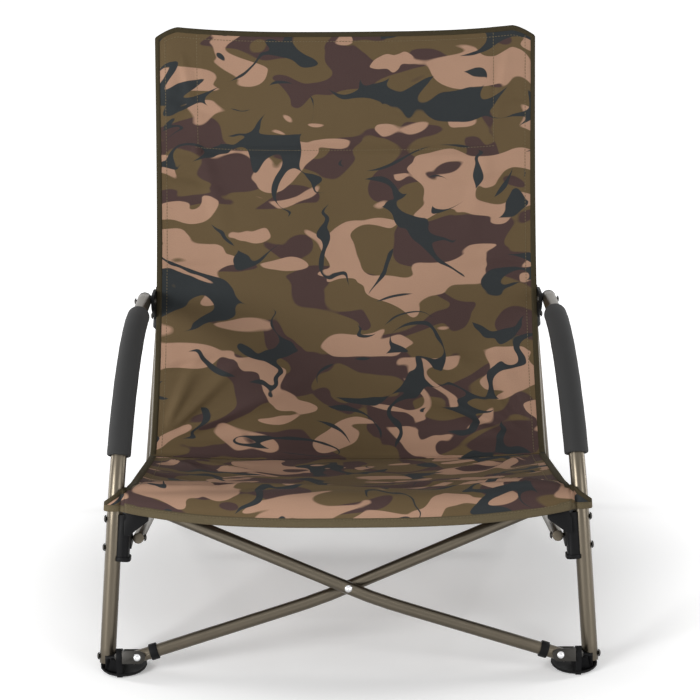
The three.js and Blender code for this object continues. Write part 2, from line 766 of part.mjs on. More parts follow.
function footClevis() {
  const inner = cross_pivot_half_span - clevis_reach_in;
  const back = cross_pivot_half_span + clevis_reach_out;
  const cheek = new THREE.Shape();
  cheek.moveTo(back, -clevis_half_height);
  cheek.lineTo(back, clevis_half_height);
  cheek.lineTo(inner + clevis_half_height, clevis_half_height);
  cheek.absarc(inner + clevis_half_height, 0, clevis_half_height, Math.PI / 2, Math.PI * 1.5, false);
  cheek.closePath();
  const room = planPlate(outline([
    [inner - cut_over, -clevis_half_height - cut_over],
    [back - clevis_wall, -clevis_half_height - cut_over],
    [back - clevis_wall, clevis_half_height + cut_over],
    [inner - cut_over, clevis_half_height + cut_over],
  ]), -clevis_half_gap, clevis_half_gap);
  return cut(
    planPlate(cheek, -clevis_half_depth, clevis_half_depth),
    room,
    acrossPlane(cross_pivot_half_span, 0, clevis_half_depth + cut_over, rivet_r + fit_gap),
    crossHole(vec(0, 0, 0), back - clevis_wall, back));
}

// Fabric: a grid of points on the middle of the cloth, thickened to both sides

function clothSolid(pointAt, across, along) {
  const columns = across + 1;
  const rows = along + 1;
  const at = (i, j) => pointAt(
    clamp(i, 0, across) / across * 2 - 1, clamp(j, 0, along) / along);
  const positions = [];
  for (const face of [1, -1]) {
    for (let j = 0; j < rows; j += 1) {
      for (let i = 0; i < columns; i += 1) {
        const side_step = at(i + 1, j).sub(at(i - 1, j));
        const long_step = at(i, j + 1).sub(at(i, j - 1));
        const normal = side_step.cross(long_step).normalize();
        const point = at(i, j).addScaledVector(normal, face * cloth_thickness / 2);
        positions.push(point.x, point.y, point.z);
      }
    }
  }
  const index = [];
  const layer = columns * rows;
  const quad = (a, b, c, d) => index.push(a, b, c, a, c, d);
  for (let j = 0; j < along; j += 1) {
    for (let i = 0; i < across; i += 1) {
      const a = j * columns + i;
      quad(a, a + 1, a + columns + 1, a + columns);
      quad(layer + a, layer + a + columns, layer + a + columns + 1, layer + a + 1);
    }
  }
  const edge = [];
  for (let i = 0; i < across; i += 1) edge.push(i);
  for (let j = 0; j < along; j += 1) edge.push(j * columns + across);
  for (let i = across; i > 0; i -= 1) edge.push(along * columns + i);
  for (let j = along; j > 0; j -= 1) edge.push(j * columns);
  edge.forEach((a, k) => {
    const b = edge[(k + 1) % edge.length];
    quad(a, layer + a, layer + b, b);
  });
  const geometry = new THREE.BufferGeometry();
  geometry.setAttribute('position', new THREE.Float32BufferAttribute(positions, 3));
  geometry.setIndex(index);
  return solidOf(geometry);
}

// Back: in front of the posts, bellied between them, with a peak over each post

function backTopZ(u) {
  const peak_share = postAt(back_peak_z).x / back_half_top;
  const edge = Math.abs(u);
  if (edge < peak_share) {
    return back_middle_z + (back_peak_z - back_middle_z) * (edge / peak_share) ** 3;
  }
  const out = (edge - peak_share) / (1 - peak_share);
  return back_peak_z - (back_peak_z - back_corner_z) * out ** 1.5;
}

function backPoint(u, v) {
  const middle_share = 1 - u * u;
  const low = back_bottom_z - back_bottom_dip * middle_share;
  const z = low + (backTopZ(u) - low) * v;
  const flare = clamp(1 - (z - crease_z) / (back_corner_z - crease_z), 0, 1) ** back_flare_power;
  const half = back_half_top + (back_half_crease - back_half_top) * flare;
  const belly = back_belly_low + (back_belly_high - back_belly_low) * v;
  return vec(u * half, postAt(z).y - back_before_post + belly * middle_share, z);
}

// A pocket behind each top corner of the back takes the post and its cap
function backPocket() {
  const shell_r = back_before_post - cloth_thickness / 2;
  const room_r = post_r + fit_gap * 2 + post_cap_wall;
  const room_top = post_top_z + post_cap_length - post_cap_lap + fit_gap;
  return cut(
    bar(postAt(pocket_bottom_z), postAt(room_top + cloth_thickness), shell_r),
    bar(postAt(pocket_bottom_z - cut_over), postAt(room_top), room_r));
}

function backCloth() {
  const pocket = backPocket();
  const left_pocket = solidOf(mirrored(geometryOf(pocket)));
  return joined(clothSolid(backPoint, cloth_columns, cloth_rows), pocket, left_pocket);
}

// Seat: taut at its edges, hanging between them, over the front edge and down to the hem

const seat_middle_line = new THREE.CatmullRomCurve3([
  vec(0, crease_y, crease_z),
  vec(0, (crease_y * 2 + seat_front_y) / 3, (crease_z * 2 + seat_front_z) / 3 - seat_sag),
  vec(0, (crease_y + seat_front_y * 3) / 4, (crease_z + seat_front_z * 3) / 4 - seat_sag / 2),
  vec(0, seat_front_y, seat_front_z),
  vec(0, (seat_front_y + hem_y * 3) / 4, (seat_front_z * 2 + hem_z) / 3),
  vec(0, hem_y, hem_z),
], false, 'centripetal');

const seat_edge_line = new THREE.CatmullRomCurve3([
  vec(0, crease_edge_y, crease_edge_z),
  vec(0, (crease_edge_y * 2 + seat_corner_y) / 3, (crease_edge_z * 2 + seat_corner_z) / 3),
  vec(0, (crease_edge_y + seat_corner_y * 3) / 4, (crease_edge_z + seat_corner_z * 3) / 4),
  vec(0, seat_corner_y, seat_corner_z),
  vec(0, (seat_corner_y + hem_y) / 2 + cloth_thickness, (seat_corner_z * 2 + hem_corner_z) / 3),
  vec(0, (seat_corner_y + hem_y) / 2, hem_corner_z),
], false, 'centripetal');

function seatPoint(u, v) {
  const half = seat_half_crease + (seat_half_front - seat_half_crease) * v;
  const point = seat_middle_line.getPoint(v).lerp(seat_edge_line.getPoint(v), Math.abs(u) ** 3);
  return vec(u * half, point.y, point.z);
}

// Front corner of the seat, sewn round the leg
function cornerWrap() {
  const from = leg_length + (wrap_bottom_z - leg_straight_top_z) / Math.sin(leg_slope);
  const to = from + (wrap_top_z - wrap_bottom_z) / Math.sin(leg_slope);
  const inner_r = arm_r + fit_gap;
  return alongPath(ring(inner_r + wrap_wall, inner_r), new ArmStretch(from, to), 3);
}

// Putting the chair together

function addPart(name, geometry, material, group = parts) {
  const mesh = new THREE.Mesh(geometry, material);
  mesh.name = name;
  group.add(mesh);
}

function addPair(name, solid, material, group = parts) {
  const geometry = geometryOf(solid);
  addPart(`${name}_right`, geometry, material, group);
  addPart(`${name}_left`, mirrored(geometry), material, group);
}

function legRivet(z) {
  const at = legAt(z);
  const inner_x = bracket_inner_half_span + moulding_wall + cut_over;
  return crossRivet(at, inner_x, at.x + arm_r + head_gap, 'far');
}

const { painted_tube, bright_rivet, black_plastic, grip_foam, chair_cloth } = materials;

addPair('arm_tube', armTube(), painted_tube);
addPair('foam_grip', foamGrip(), grip_foam);
addPair('arm_end_cap', armEndCap(), black_plastic);
addPair('arm_bracket', armBracket(), black_plastic);
addPair('arm_pin', crossRivet(
  arm_pin_at, arm_plate_inner - fit_gap, arm_pin_at.x + arm_r + head_gap), bright_rivet);
addPair('rear_leg_pin', crossRivet(rear_pin_at, rear_pin_at.x - rear_socket_r - rear_head_gap,
  rear_pin_at.x + rear_socket_r + rear_head_gap), bright_rivet);
addPair('back_post', backPost(), painted_tube);
addPair('post_cap', postCap(), black_plastic);
addPair('post_shoe', postShoe(), black_plastic);
addPair('post_shoe_rivet', crossRivet(shoe_rivet_at, shoe_rivet_at.x - shoe_r - head_gap,
  shoe_rivet_at.x + shoe_r + head_gap), bright_rivet);
addPair('rear_leg', rearLeg(), painted_tube);
addPair('side_strut', sideStrut(), painted_tube);
addPair('front_foot', frontFoot(), black_plastic);
addPair('front_foot_rivet', crossRivet(front_pin_at, ear_outer + rivet_r + fit_gap,
  front_pin_at.x + arm_r + head_gap, 'far'), bright_rivet);
addPair('rear_foot', rearFoot(), black_plastic);
addPair('rear_leg_rivet', crossRivet(rear_foot_pin_at, rear_foot_pin_at.x - rear_socket_r,
  rear_foot_pin_at.x + rear_socket_r + rear_head_gap, 'far'), bright_rivet);
addPair('strut_rear_rivet', crossRivet(strut_rear_pin_at,
  strut_rear_half_span + strut_r + moulding_wall + fit_gap,
  strut_rear_half_span - strut_r - moulding_wall - fit_gap * 2, 'far'), bright_rivet);
addPair('corner_bracket', cornerBracket(), black_plastic);
addPair('bracket_rivet_upper', legRivet(bracket_rivet_upper_z), bright_rivet);
addPair('bracket_rivet_lower', legRivet(bracket_rivet_lower_z), bright_rivet);
addPair('strut_pin', crossRivet(strut_front, strut_front.x - strut_r - fit_gap,
  bracket_inner_half_span + bracket_flange_thickness + fit_gap), bright_rivet);
addPair('seat_corner_wrap', cornerWrap(), chair_cloth);

addPair('foot_clevis', footClevis(), painted_tube, cross_plane);
addPair('tilt_pin', rivet(
  vec(ear_inner - clevis_wall - fit_gap * 2, 0, 0), vec(ear_outer + fit_gap, 0, 0)),
bright_rivet, cross_plane);
const clevis_pin_reach = clevis_half_depth + fit_gap;
addPair('clevis_pin', rivet(
  vec(cross_pivot_half_span, 0, -clevis_pin_reach), vec(cross_pivot_half_span, 0, clevis_pin_reach)),
bright_rivet, cross_plane);
addPair('cross_top_pin', rivet(
  vec(cross_top_half_span, cross_top_rise, tab_front - fit_gap),
  vec(cross_top_half_span, cross_top_rise, -cross_r - fit_gap), 'far'),
bright_rivet, cross_plane);
for (const [name, foot_side] of [['right', 1], ['left', -1]]) {
  addPart(`cross_tube_${name}`, geometryOf(crossTube(foot_side)), painted_tube, cross_plane);
  addPart(`cross_collar_${name}`, geometryOf(crossCollar(foot_side)), black_plastic, cross_plane);
}
const middle_reach = cross_offset + cross_r + fit_gap;
addPart('centre_rivet', geometryOf(rivet(
  vec(0, cross_middle_rise, -middle_reach),
  vec(0, cross_middle_rise, middle_reach))), bright_rivet, cross_plane);

addPart('seat_cloth', geometryOf(clothSolid(seatPoint, cloth_columns, cloth_rows)), chair_cloth);
addPart('back_cloth', geometryOf(backCloth()), chair_cloth);

// The origin lies on the floor, in the middle of the outline

const chair = new THREE.Group();
parts.position.y = -middle_y;
chair.add(parts);

export default chair;
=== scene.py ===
import json
import math

import bpy
import numpy as np
from bpy.props import FloatProperty, FloatVectorProperty, PointerProperty
from mathutils import Matrix, Vector


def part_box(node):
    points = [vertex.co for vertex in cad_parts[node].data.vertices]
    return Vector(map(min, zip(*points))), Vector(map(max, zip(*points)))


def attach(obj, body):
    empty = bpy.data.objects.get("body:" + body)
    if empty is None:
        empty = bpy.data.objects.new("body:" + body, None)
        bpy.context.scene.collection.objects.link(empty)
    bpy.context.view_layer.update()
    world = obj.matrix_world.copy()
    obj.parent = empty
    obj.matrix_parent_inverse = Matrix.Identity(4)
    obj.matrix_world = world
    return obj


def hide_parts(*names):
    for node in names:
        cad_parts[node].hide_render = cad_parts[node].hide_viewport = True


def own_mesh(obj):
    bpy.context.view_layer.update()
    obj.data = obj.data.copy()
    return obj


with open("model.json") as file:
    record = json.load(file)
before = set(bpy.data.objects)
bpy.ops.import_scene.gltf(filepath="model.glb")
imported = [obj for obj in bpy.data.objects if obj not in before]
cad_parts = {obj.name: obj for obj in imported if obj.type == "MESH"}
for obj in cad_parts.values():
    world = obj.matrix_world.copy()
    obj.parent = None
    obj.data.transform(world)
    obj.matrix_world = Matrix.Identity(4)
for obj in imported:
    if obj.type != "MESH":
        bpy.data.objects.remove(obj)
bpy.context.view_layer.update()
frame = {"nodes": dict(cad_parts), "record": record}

bl_info = {
    "name": "Fishing chair",
    "version": (1, 0, 0),
    "blender": (4, 5, 0),
    "location": "View3D > Sidebar > Chair",
    "description": "Cloth, finishes and stage of a low folding fishing chair",
    "category": "Object",
}

MM = 0.001
SIDES = (("right", 1), ("left", -1))

# Lines of the CAD model that the pieces follow, in mm from the front feet
MIDDLE_Y = 260  # back to the origin
POST_X, POST_IN = 280.4, 0.07  # a post at the floor, and its lean inward and back
POST_Y, POST_BACK = 329.8, 0.2364
LEG_X, LEG_IN, LEG_OUT = 302, 0.07, 0.006  # lean inward going up, drift outward going back
LEG_LOW, LEG_SLOPE = 9, math.radians(78.4)
BEND_Y, BEND_Z = 34.7, 178  # where the leg bends over into the arm
BEND_RADIUS, BEND_LENGTH = 242, 342.5
CROSS_TILT = math.radians(71)  # of the plane that holds the crossed tubes
CROSS_ORIGIN = np.array([0.0, -19 - MIDDLE_Y, 26])  # its foot at the clevis pins, from the origin
CROSS_PIVOT = 83.8  # up that plane to the middle rivet
CROSS_BOW, CROSS_BOWED = 8.3, 45  # how far a tube bows round the other, and up to where
CROSS_PIN_X, CROSS_PIN_UP = 260, 191.5  # the upper pins in that plane
CROSS_PAST_PIN = 5
SEAT_MIDDLE = ((365, 139.5), (253.3, 154.7), (113.8, 194.6), (30, 221), (13.5, 209.7), (8, 187))
SEAT_EDGE = ((350.5, 150.5), (245.7, 174.3), (114.6, 204.1), (36, 222), (26, 215.7), (22, 203))
SEAT_FRONT_POINT = 3  # the point of those two lines where the cloth turns down


# Sizes and colours that can be changed

def colour(name, description, value):
    return FloatVectorProperty(
        name=name, description=description, subtype="COLOR", size=3, min=0, max=1, default=value)


def length(name, description, value):
    return FloatProperty(
        name=name, description=description, subtype="DISTANCE", unit="LENGTH", min=0, default=value)


class ClothSettings(bpy.types.PropertyGroup):
    thickness: length("Thickness", "Thickness of the cloth", 0.0014)
    wrinkle: length("Wrinkle height", "Height of the pulled wrinkles", 0.0085)
    binding: length("Binding width", "Width of the tape sewn over the edges", 0.008)
    hem: length("Hem width", "Width of the band along the seat's front edge", 0.01)
    stitch: length("Stitch pitch", "From one stitch to the next", 0.0042)
    olive: colour("Olive", "Ground colour of the print", (0.116, 0.08, 0.04))
    brown: colour("Brown", "Dark brown patches of the print", (0.066, 0.04, 0.037))
    tan: colour("Tan", "Light patches of the print", (0.385, 0.235, 0.16))
    slate: colour("Slate", "Thin dark strokes of the print", (0.03, 0.034, 0.036))
    tape: colour("Tape", "Tape over the edges", (0.05, 0.04, 0.022))
    band: colour("Band", "Band along the seat's front edge", (0.12, 0.095, 0.055))


class FrameSettings(bpy.types.PropertyGroup):
    paint: colour("Paint", "Satin paint of the tubes", (0.112, 0.095, 0.071))
    clevis: colour("Clevis", "Dark paint of the clevises at the feet", (0.02, 0.018, 0.015))
    plastic: colour("Plastic", "Moulded pieces", (0.006, 0.006, 0.0064))
    foam: colour("Foam", "Foam of the grips", (0.003, 0.003, 0.0033))
    rivet: colour("Rivet", "Plated rivets", (0.72, 0.72, 0.73))


class StageSettings(bpy.types.PropertyGroup):
    floor: colour("Floor", "Floor and backdrop", (0.92, 0.92, 0.92))
    key: FloatProperty(
        name="Key light", description="Power of the main front light", subtype="POWER",
        unit="POWER", min=0, default=60)


# Materials

# Noise of the print, in the cloth's own metres: place, stretch, size and warp
BROWN_NOISE = ((3.1, 1.7, 0), (0.75, 1.25, 1), 13.0, 0.9)
TAN_NOISE = ((7.9, 4.3, 0), (0.7, 1.3, 1), 14.0, 1.1)
STROKE_NOISE = ((1.3, 9.2, 0), (0.8, 1.15, 1), 8.5, 1.6)
STROKE_WIDTH_NOISE = ((5.5, 2.2, 0), (1, 1, 1), 14.0, 0.6)
BROWN_LEVEL, TAN_LEVEL = 0.535, 0.572  # a patch is where its noise is over this
STROKE_LEVEL, STROKE_GAIN = 0.44, 0.24
PATCH_BLUR, STROKE_BLUR = 0.006, 0.004
SPECK_SHARE = 0.4
NOISE_LOW, NOISE_HIGH = 0.3, 0.7  # the range that a noise mostly keeps to
THREAD_TINT = 1.3  # the sewing thread against the hem's band


class Nodes:
    """Adds nodes to a material's tree and links them in short calls."""

    def __init__(self, name):
        self.material = bpy.data.materials.new(name)
        self.material.use_nodes = True
        self.tree = self.material.node_tree
        self.shader = self.tree.nodes["Principled BSDF"]

    def put(self, socket, value):
        if isinstance(value, bpy.types.NodeSocket):
            self.tree.links.new(value, socket)
        else:
            socket.default_value = value

    def add(self, kind, values=(), **options):
        node = self.tree.nodes.new("ShaderNode" + kind)
        for key, value in options.items():
            setattr(node, key, value)
        for key, value in dict(values).items():
            self.put(node.inputs[key], value)
        return node

    def math(self, operation, a, b=0.0, clamp=False):
        return self.add("Math", {0: a, 1: b}, operation=operation, use_clamp=clamp).outputs[0]

    def mix(self, factor, a, b):
        """Colour a where the factor is 0, and b where it is 1."""
        return self.add("Mix", {0: factor, 6: a, 7: b}, data_type="RGBA").outputs[2]

    def spread(self, value, low, high, start=0.0, end=1.0):
        """Takes low to start and high to end, and goes no further."""
        return self.add("MapRange", {0: value, 1: low, 2: high, 3: start, 4: end}).outputs[0]

    def on_cloth(self):
        return self.add("UVMap", uv_map="cloth").outputs[0]

    def on_object(self):
        return self.add("TexCoord").outputs["Object"]

    def set(self, **values):
        for key, value in values.items():
            self.put(self.shader.inputs[key.replace("_", " ")], value)

    def bump(self, height, strength, distance):
        node = self.add("Bump", {"Height": height, "Strength": strength, "Distance": distance})
        self.set(Normal=node.outputs[0])


def settings(group):
    return getattr(bpy.context.scene, "chair_" + group)


def rgba(value, tint=1.0):
    return (*(c * tint for c in value), 1.0)


def print_noise(nodes, place, stretch, size, warp):
    spot = nodes.add("Mapping", {
        "Vector": nodes.on_cloth(), "Location": place, "Scale": stretch}).outputs[0]
    return nodes.add("TexNoise", {
        "Vector": spot, "Scale": size, "Detail": 1.2, "Roughness": 0.35,
        "Distortion": warp}).outputs[0]


def patches(nodes, noise, level):
    """Soft-edged patches, 1 where the noise is over a level."""
    return nodes.spread(print_noise(nodes, *noise), level - PATCH_BLUR, level + PATCH_BLUR)


def strokes(nodes):
    """Thin strokes along the noise's middle level, as wide as a second noise lets them be."""
    ridge = nodes.math(
        "ABSOLUTE", nodes.math("SUBTRACT", print_noise(nodes, *STROKE_NOISE), 0.5))
    over = nodes.math(
        "SUBTRACT", print_noise(nodes, *STROKE_WIDTH_NOISE), STROKE_LEVEL, clamp=True)
    width = nodes.math("MULTIPLY", over, STROKE_GAIN)
    return nodes.spread(nodes.math("SUBTRACT", width, ridge), 0.0, STROKE_BLUR)


def weave(nodes, pitch):
    """Height of a plain weave, in the cloth's own metres."""
    place = nodes.add("SeparateXYZ", {0: nodes.on_cloth()})
    threads = [
        nodes.math("SINE", nodes.math("MULTIPLY", place.outputs[k], 2 * math.pi / pitch))
        for k in (0, 1)]
    return nodes.math("MULTIPLY", *threads)


def woven(nodes, shade, pitch, speck, thread_share, level, roughness, bump):
    """Lays a weave and small specks over a colour, as woven polyester has them."""
    thread = weave(nodes, pitch)
    specks = nodes.add("TexNoise", {
        "Vector": nodes.on_cloth(), "Scale": speck, "Detail": 2.0}).outputs[0]
    tone = nodes.math("ADD", nodes.math("MULTIPLY", thread, thread_share), level)
    tone = nodes.math("ADD", tone, nodes.math("MULTIPLY", specks, SPECK_SHARE))
    nodes.set(
        Base_Color=nodes.add("VectorMath", {0: shade, 1: tone}, operation="MULTIPLY").outputs[0],
        Roughness=roughness, Specular_IOR_Level=0.4, IOR=1.2, Sheen_Weight=0.02)
    nodes.bump(thread, *bump)
    return nodes.material


def camouflage():
    """Printed woven cloth: a generic print of four colours."""
    cloth = settings("cloth")
    nodes = Nodes("camouflage_cloth")
    brown = patches(nodes, BROWN_NOISE, BROWN_LEVEL)
    shade = nodes.mix(brown, rgba(cloth.olive), rgba(cloth.brown))
    shade = nodes.mix(patches(nodes, TAN_NOISE, TAN_LEVEL), shade, rgba(cloth.tan))
    shade = nodes.mix(strokes(nodes), shade, rgba(cloth.slate))
    return woven(nodes, shade, pitch=0.0013, speck=900.0, thread_share=0.05, level=0.8,
                 roughness=0.75, bump=(0.35, 0.0003))


def plain_cloth(name, shade, pitch=0.0016):
    """Woven tape or thread in one colour."""
    return woven(Nodes(name), shade, pitch, speck=700.0, thread_share=0.08, level=0.78,
                 roughness=0.85, bump=(0.5, 0.0004))


def object_noise(nodes, size, detail=3.0, stretch=(1, 1, 1)):
    spot = nodes.add("Mapping", {"Vector": nodes.on_object(), "Scale": stretch}).outputs[0]
    return nodes.add("TexNoise", {"Vector": spot, "Scale": size, "Detail": detail}).outputs[0]


def hard_finish(name, base, cloud, tints, rough, grain, bump, **values):
    """A finish whose colour and roughness wander with a noise, under a fine grain.

    The noises have a size, a detail and a stretch, and the bump has a strength and a depth."""
    nodes = Nodes(name)
    wear = object_noise(nodes, *cloud)
    nodes.set(
        Base_Color=nodes.mix(wear, *(rgba(base, tint) for tint in tints)),
        Roughness=nodes.spread(wear, NOISE_LOW, NOISE_HIGH, *rough), **values)
    nodes.bump(object_noise(nodes, *grain), *bump)
    return nodes.material


def tube_paint():
    """Satin metallic paint, with a fine grain and faint wear along the tube."""
    return hard_finish(
        "tube_paint", settings("frame").paint, cloud=(34.0, 4.0, (1, 1, 0.2)), tints=(0.93, 1.06),
        rough=(0.3, 0.34), grain=(1400.0,), bump=(0.03, 0.0001), Metallic=0.88)


def clevis_paint():
    """Dark satin paint on folded steel."""
    return hard_finish(
        "clevis_paint", settings("frame").clevis, cloud=(90.0, 4.0), tints=(0.7, 1.5),
        rough=(0.32, 0.5), grain=(1400.0,), bump=(0.15, 0.00015), Metallic=0.5)


def moulded_plastic():
    """Black moulded plastic with a fine spark-eroded texture."""
    return hard_finish(
        "moulded_plastic", settings("frame").plastic, cloud=(60.0,), tints=(0.8, 1.5),
        rough=(0.42, 0.58), grain=(2200.0, 1.0), bump=(0.25, 0.0002), Specular_IOR_Level=0.35,
        IOR=1.22)


def plated_steel():
    """Zinc-plated steel with fine turning marks."""
    return hard_finish(
        "plated_steel", settings("frame").rivet, cloud=(220.0,), tints=(0.75, 1.0),
        rough=(0.2, 0.36), grain=(1800.0, 2.0), bump=(0.1, 0.0001), Metallic=1.0)


def grip_foam():
    """Closed-cell foam: matt, with a skin of small cells."""
    nodes = Nodes("grip_foam")
    base = settings("frame").foam
    cells = nodes.add("TexVoronoi", {"Vector": nodes.on_object(), "Scale": 900.0}).outputs[0]
    shade = nodes.mix(object_noise(nodes, 45.0), rgba(base, 0.8), rgba(base, 1.6))
    nodes.set(Base_Color=shade, Roughness=0.9, Specular_IOR_Level=0.1, IOR=1.12)
    nodes.bump(cells, 0.3, 0.0004)
    return nodes.material


MAKERS = {
    "camouflage_cloth": camouflage,
    "edge_tape": lambda: plain_cloth("edge_tape", settings("cloth").tape),
    "hem_band": lambda: plain_cloth("hem_band", settings("cloth").band),
    "sewing_thread": lambda: plain_cloth(
        "sewing_thread", [c * THREAD_TINT for c in settings("cloth").band], pitch=0.0006),
    "tube_paint": tube_paint,
    "clevis_paint": clevis_paint,
    "moulded_plastic": moulded_plastic,
    "grip_foam": grip_foam,
    "plated_steel": plated_steel,
}


def finish(name):
    return bpy.data.materials.get(name) or MAKERS[name]()


# Meshes

# A tape folded over an edge: outward in shares of its width, up in shares of its height
TAPE_SECTION = ((-1, 1), (-0.5, 1.05), (0.0, 1), (0.16, 0.6), (0.2, 0),
                (0.16, -0.6), (0.0, -1), (-0.5, -1.05), (-1, -1))
STITCH_SPAN = (0.14, 0.86)  # the part of each pitch that a stitch takes
STITCH_SHAPE = ((0, 0.35), (0.25, 1), (0.75, 1), (1, 0.35))  # shares of length and radius
THREAD_RADIUS, THREAD_FLAT, THREAD_SIDES = 0.0005, 0.8, 5
THREAD_STEP = 0.0006  # the thread's own coordinate from side to side
TURNED_SIDES = 32


def piece(name, points, faces, flat, material, body):
    """A mesh object with its cloth coordinates, riding on a body."""
    mesh = bpy.data.meshes.new(name)
    mesh.from_pydata(np.asarray(points).tolist(), [], faces)
    mesh.update()
    layer = mesh.uv_layers.new(name="cloth")
    loops = np.empty(len(mesh.loops), dtype=int)
    mesh.loops.foreach_get("vertex_index", loops)
    layer.data.foreach_set("uv", np.asarray(flat)[loops].astype(np.float32).ravel())
    mesh.polygons.foreach_set("use_smooth", [True] * len(mesh.polygons))
    mesh.materials.append(finish(material))
    made = bpy.data.objects.new(name, mesh)
    bpy.context.scene.collection.objects.link(made)
    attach(made, body)
    return made


def grid_normals(points):
    normal = np.cross(np.gradient(points, axis=1), np.gradient(points, axis=0))
    return normal / np.linalg.norm(normal, axis=2, keepdims=True)


def thick_grid(name, points, flat, thickness, material, body):
    """A closed sheet of cloth from a grid of points on its middle surface."""
    rows, columns = points.shape[:2]
    count = rows * columns
    normal = grid_normals(points)
    shells = [points + normal * (side * thickness / 2) for side in (1, -1)]
    cells = np.arange(count).reshape(rows, columns)
    quad = np.stack(
        [cells[:-1, :-1], cells[:-1, 1:], cells[1:, 1:], cells[1:, :-1]], axis=2).reshape(-1, 4)
    rim = np.concatenate([cells[0, :-1], cells[:-1, -1], cells[-1, :0:-1], cells[:0:-1, 0]])
    after = np.roll(rim, -1)
    sides = np.stack([rim, rim + count, after + count, after], axis=1)
    faces = np.concatenate([quad, quad[:, ::-1] + count, sides]).tolist()
    stacked = np.concatenate([shell.reshape(-1, 3) for shell in shells])
    return piece(name, stacked, faces, np.concatenate([flat.reshape(-1, 2)] * 2), material,
                 body)


def loft(name, rings, material, body, endless=False):
    """Rings of equal point counts joined into a skin, with capped ends or the ends joined."""
    rings = np.asarray(rings, float)
    count, points = rings.shape[:2]
    spans = [(i * points, (i + 1) * points) for i in range(count - 1)]
    if endless:
        spans.append(((count - 1) * points, 0))
    faces = [
        [low + k, low + (k + 1) % points, high + (k + 1) % points, high + k]
        for low, high in spans for k in range(points)]
    if not endless:
        faces += [list(range(points))[::-1], list(range((count - 1) * points, count * points))]
    round_length = np.linalg.norm(np.diff(rings[0], axis=0), axis=1).sum()
    long_length = np.linalg.norm(np.diff(rings[:, 0], axis=0), axis=1).sum()
    u, v = np.meshgrid(np.linspace(0, round_length, points), np.linspace(0, long_length, count))
    flat = np.stack([u, v], axis=2).reshape(-1, 2)
    return piece(name, rings.reshape(-1, 3), faces, flat, material, body)


def turned(name, profile, origin, direction, material, body):
    """A turned piece: a profile of radius and height in mm round an axis."""
    aim = Vector(direction).normalized().to_track_quat("Z", "Y").to_matrix()
    angles = [k * 2 * math.pi / TURNED_SIDES for k in range(TURNED_SIDES)]
    rings = [
        [np.array(origin) + np.array(aim @ Vector((
            radius * math.cos(angle), radius * math.sin(angle), height))) for angle in angles]
        for radius, height in profile]
    return loft(name, np.array(rings) * MM, material, body)


def inward(path, inner):
    """Unit steps from each point of an edge to the next row of the cloth."""
    step = inner - path
    return step / np.linalg.norm(step, axis=1, keepdims=True)


def edge_tape(name, path, inner, normal, width, height, material, body):
    """Tape folded over an edge of the cloth."""
    rings = [
        [p - d * (a * width) + n * (b * height) for a, b in TAPE_SECTION]
        for p, d, n in zip(path, inward(path, inner), normal)]
    return loft(name, rings, material, body)


def stitches(name, path, normal, lift, body):
    """A row of short raised threads along a path on the cloth."""
    pitch = settings("cloth").stitch
    path = np.asarray(path, float)
    steps = np.linalg.norm(np.diff(path, axis=0), axis=1)
    reach = np.concatenate([[0], np.cumsum(steps)])
    points, faces, flat = [], [], []
    for i in range(int(reach[-1] / pitch)):
        ends = [(i + share) * pitch for share in STITCH_SPAN]
        a, b = [np.array([np.interp(e, reach, path[:, k]) for k in range(3)]) for e in ends]
        n = np.array([np.interp(ends[0], reach, normal[:, k]) for k in range(3)])
        along = (b - a) / np.linalg.norm(b - a)
        side = np.cross(n, along)
        start = len(points)
        for share, wide in STITCH_SHAPE:
            centre = a + (b - a) * share + n * lift
            for turn in range(THREAD_SIDES):
                angle = turn * 2 * math.pi / THREAD_SIDES
                offset = side * math.cos(angle) + n * (math.sin(angle) * THREAD_FLAT)
                points.append(centre + offset * (wide * THREAD_RADIUS))
                flat.append((turn * THREAD_STEP, ends[0]))
        last = len(points) - THREAD_SIDES
        for low in range(start, last, THREAD_SIDES):
            high = low + THREAD_SIDES
            for turn in range(THREAD_SIDES):
                after = (turn + 1) % THREAD_SIDES
                faces.append([low + turn, low + after, high + after, high + turn])
        faces.append([start + k for k in range(THREAD_SIDES)][::-1])
        faces.append([last + k for k in range(THREAD_SIDES)])
    return piece(name, points, faces, flat, "sewing_thread", body)


def on_line(points, t):
    """A smooth centripetal curve through points, at shares t of its spans."""
    p = np.asarray(points, float)
    p = np.vstack([2 * p[0] - p[1], p, 2 * p[-1] - p[-2]])
    place = np.clip(np.asarray(t, float), 0, 1) * (len(points) - 1)
    k = np.minimum(place.astype(int), len(points) - 2)
    w = (place - k)[:, None]
    p0, p1, p2, p3 = (p[k + i] for i in range(4))
    d0, d1, d2 = (
        np.sqrt(np.linalg.norm(b - a, axis=1))[:, None]
        for a, b in ((p0, p1), (p1, p2), (p2, p3)))
    t1 = ((p1 - p0) / d0 - (p2 - p0) / (d0 + d1) + (p2 - p1) / d1) * d1
    t2 = ((p2 - p1) / d1 - (p3 - p1) / (d1 + d2) + (p3 - p2) / d2) * d1
    return (p1 + t1 * w + (-3 * p1 + 3 * p2 - 2 * t1 - t2) * w**2
            + (2 * p1 - 2 * p2 + t1 + t2) * w**3)


# The cloth's own surface

# The cloth coordinate where the seat meets the back: more up the back, less along the seat
CLOTH_JOIN = 0.9
SIDE_POWER = 3  # of the share across, from the seat's middle line to its edge line
FOLD_WIDTH, FOLD_WIDENING = 0.5, 0.9  # half width at a fold's start, and its gain to the end
FOLD_START, FOLD_END = 6, 1.6  # how fast a fold rises at its start and dies at its end


def ramp(value):
    return np.clip(value, 0, 1)


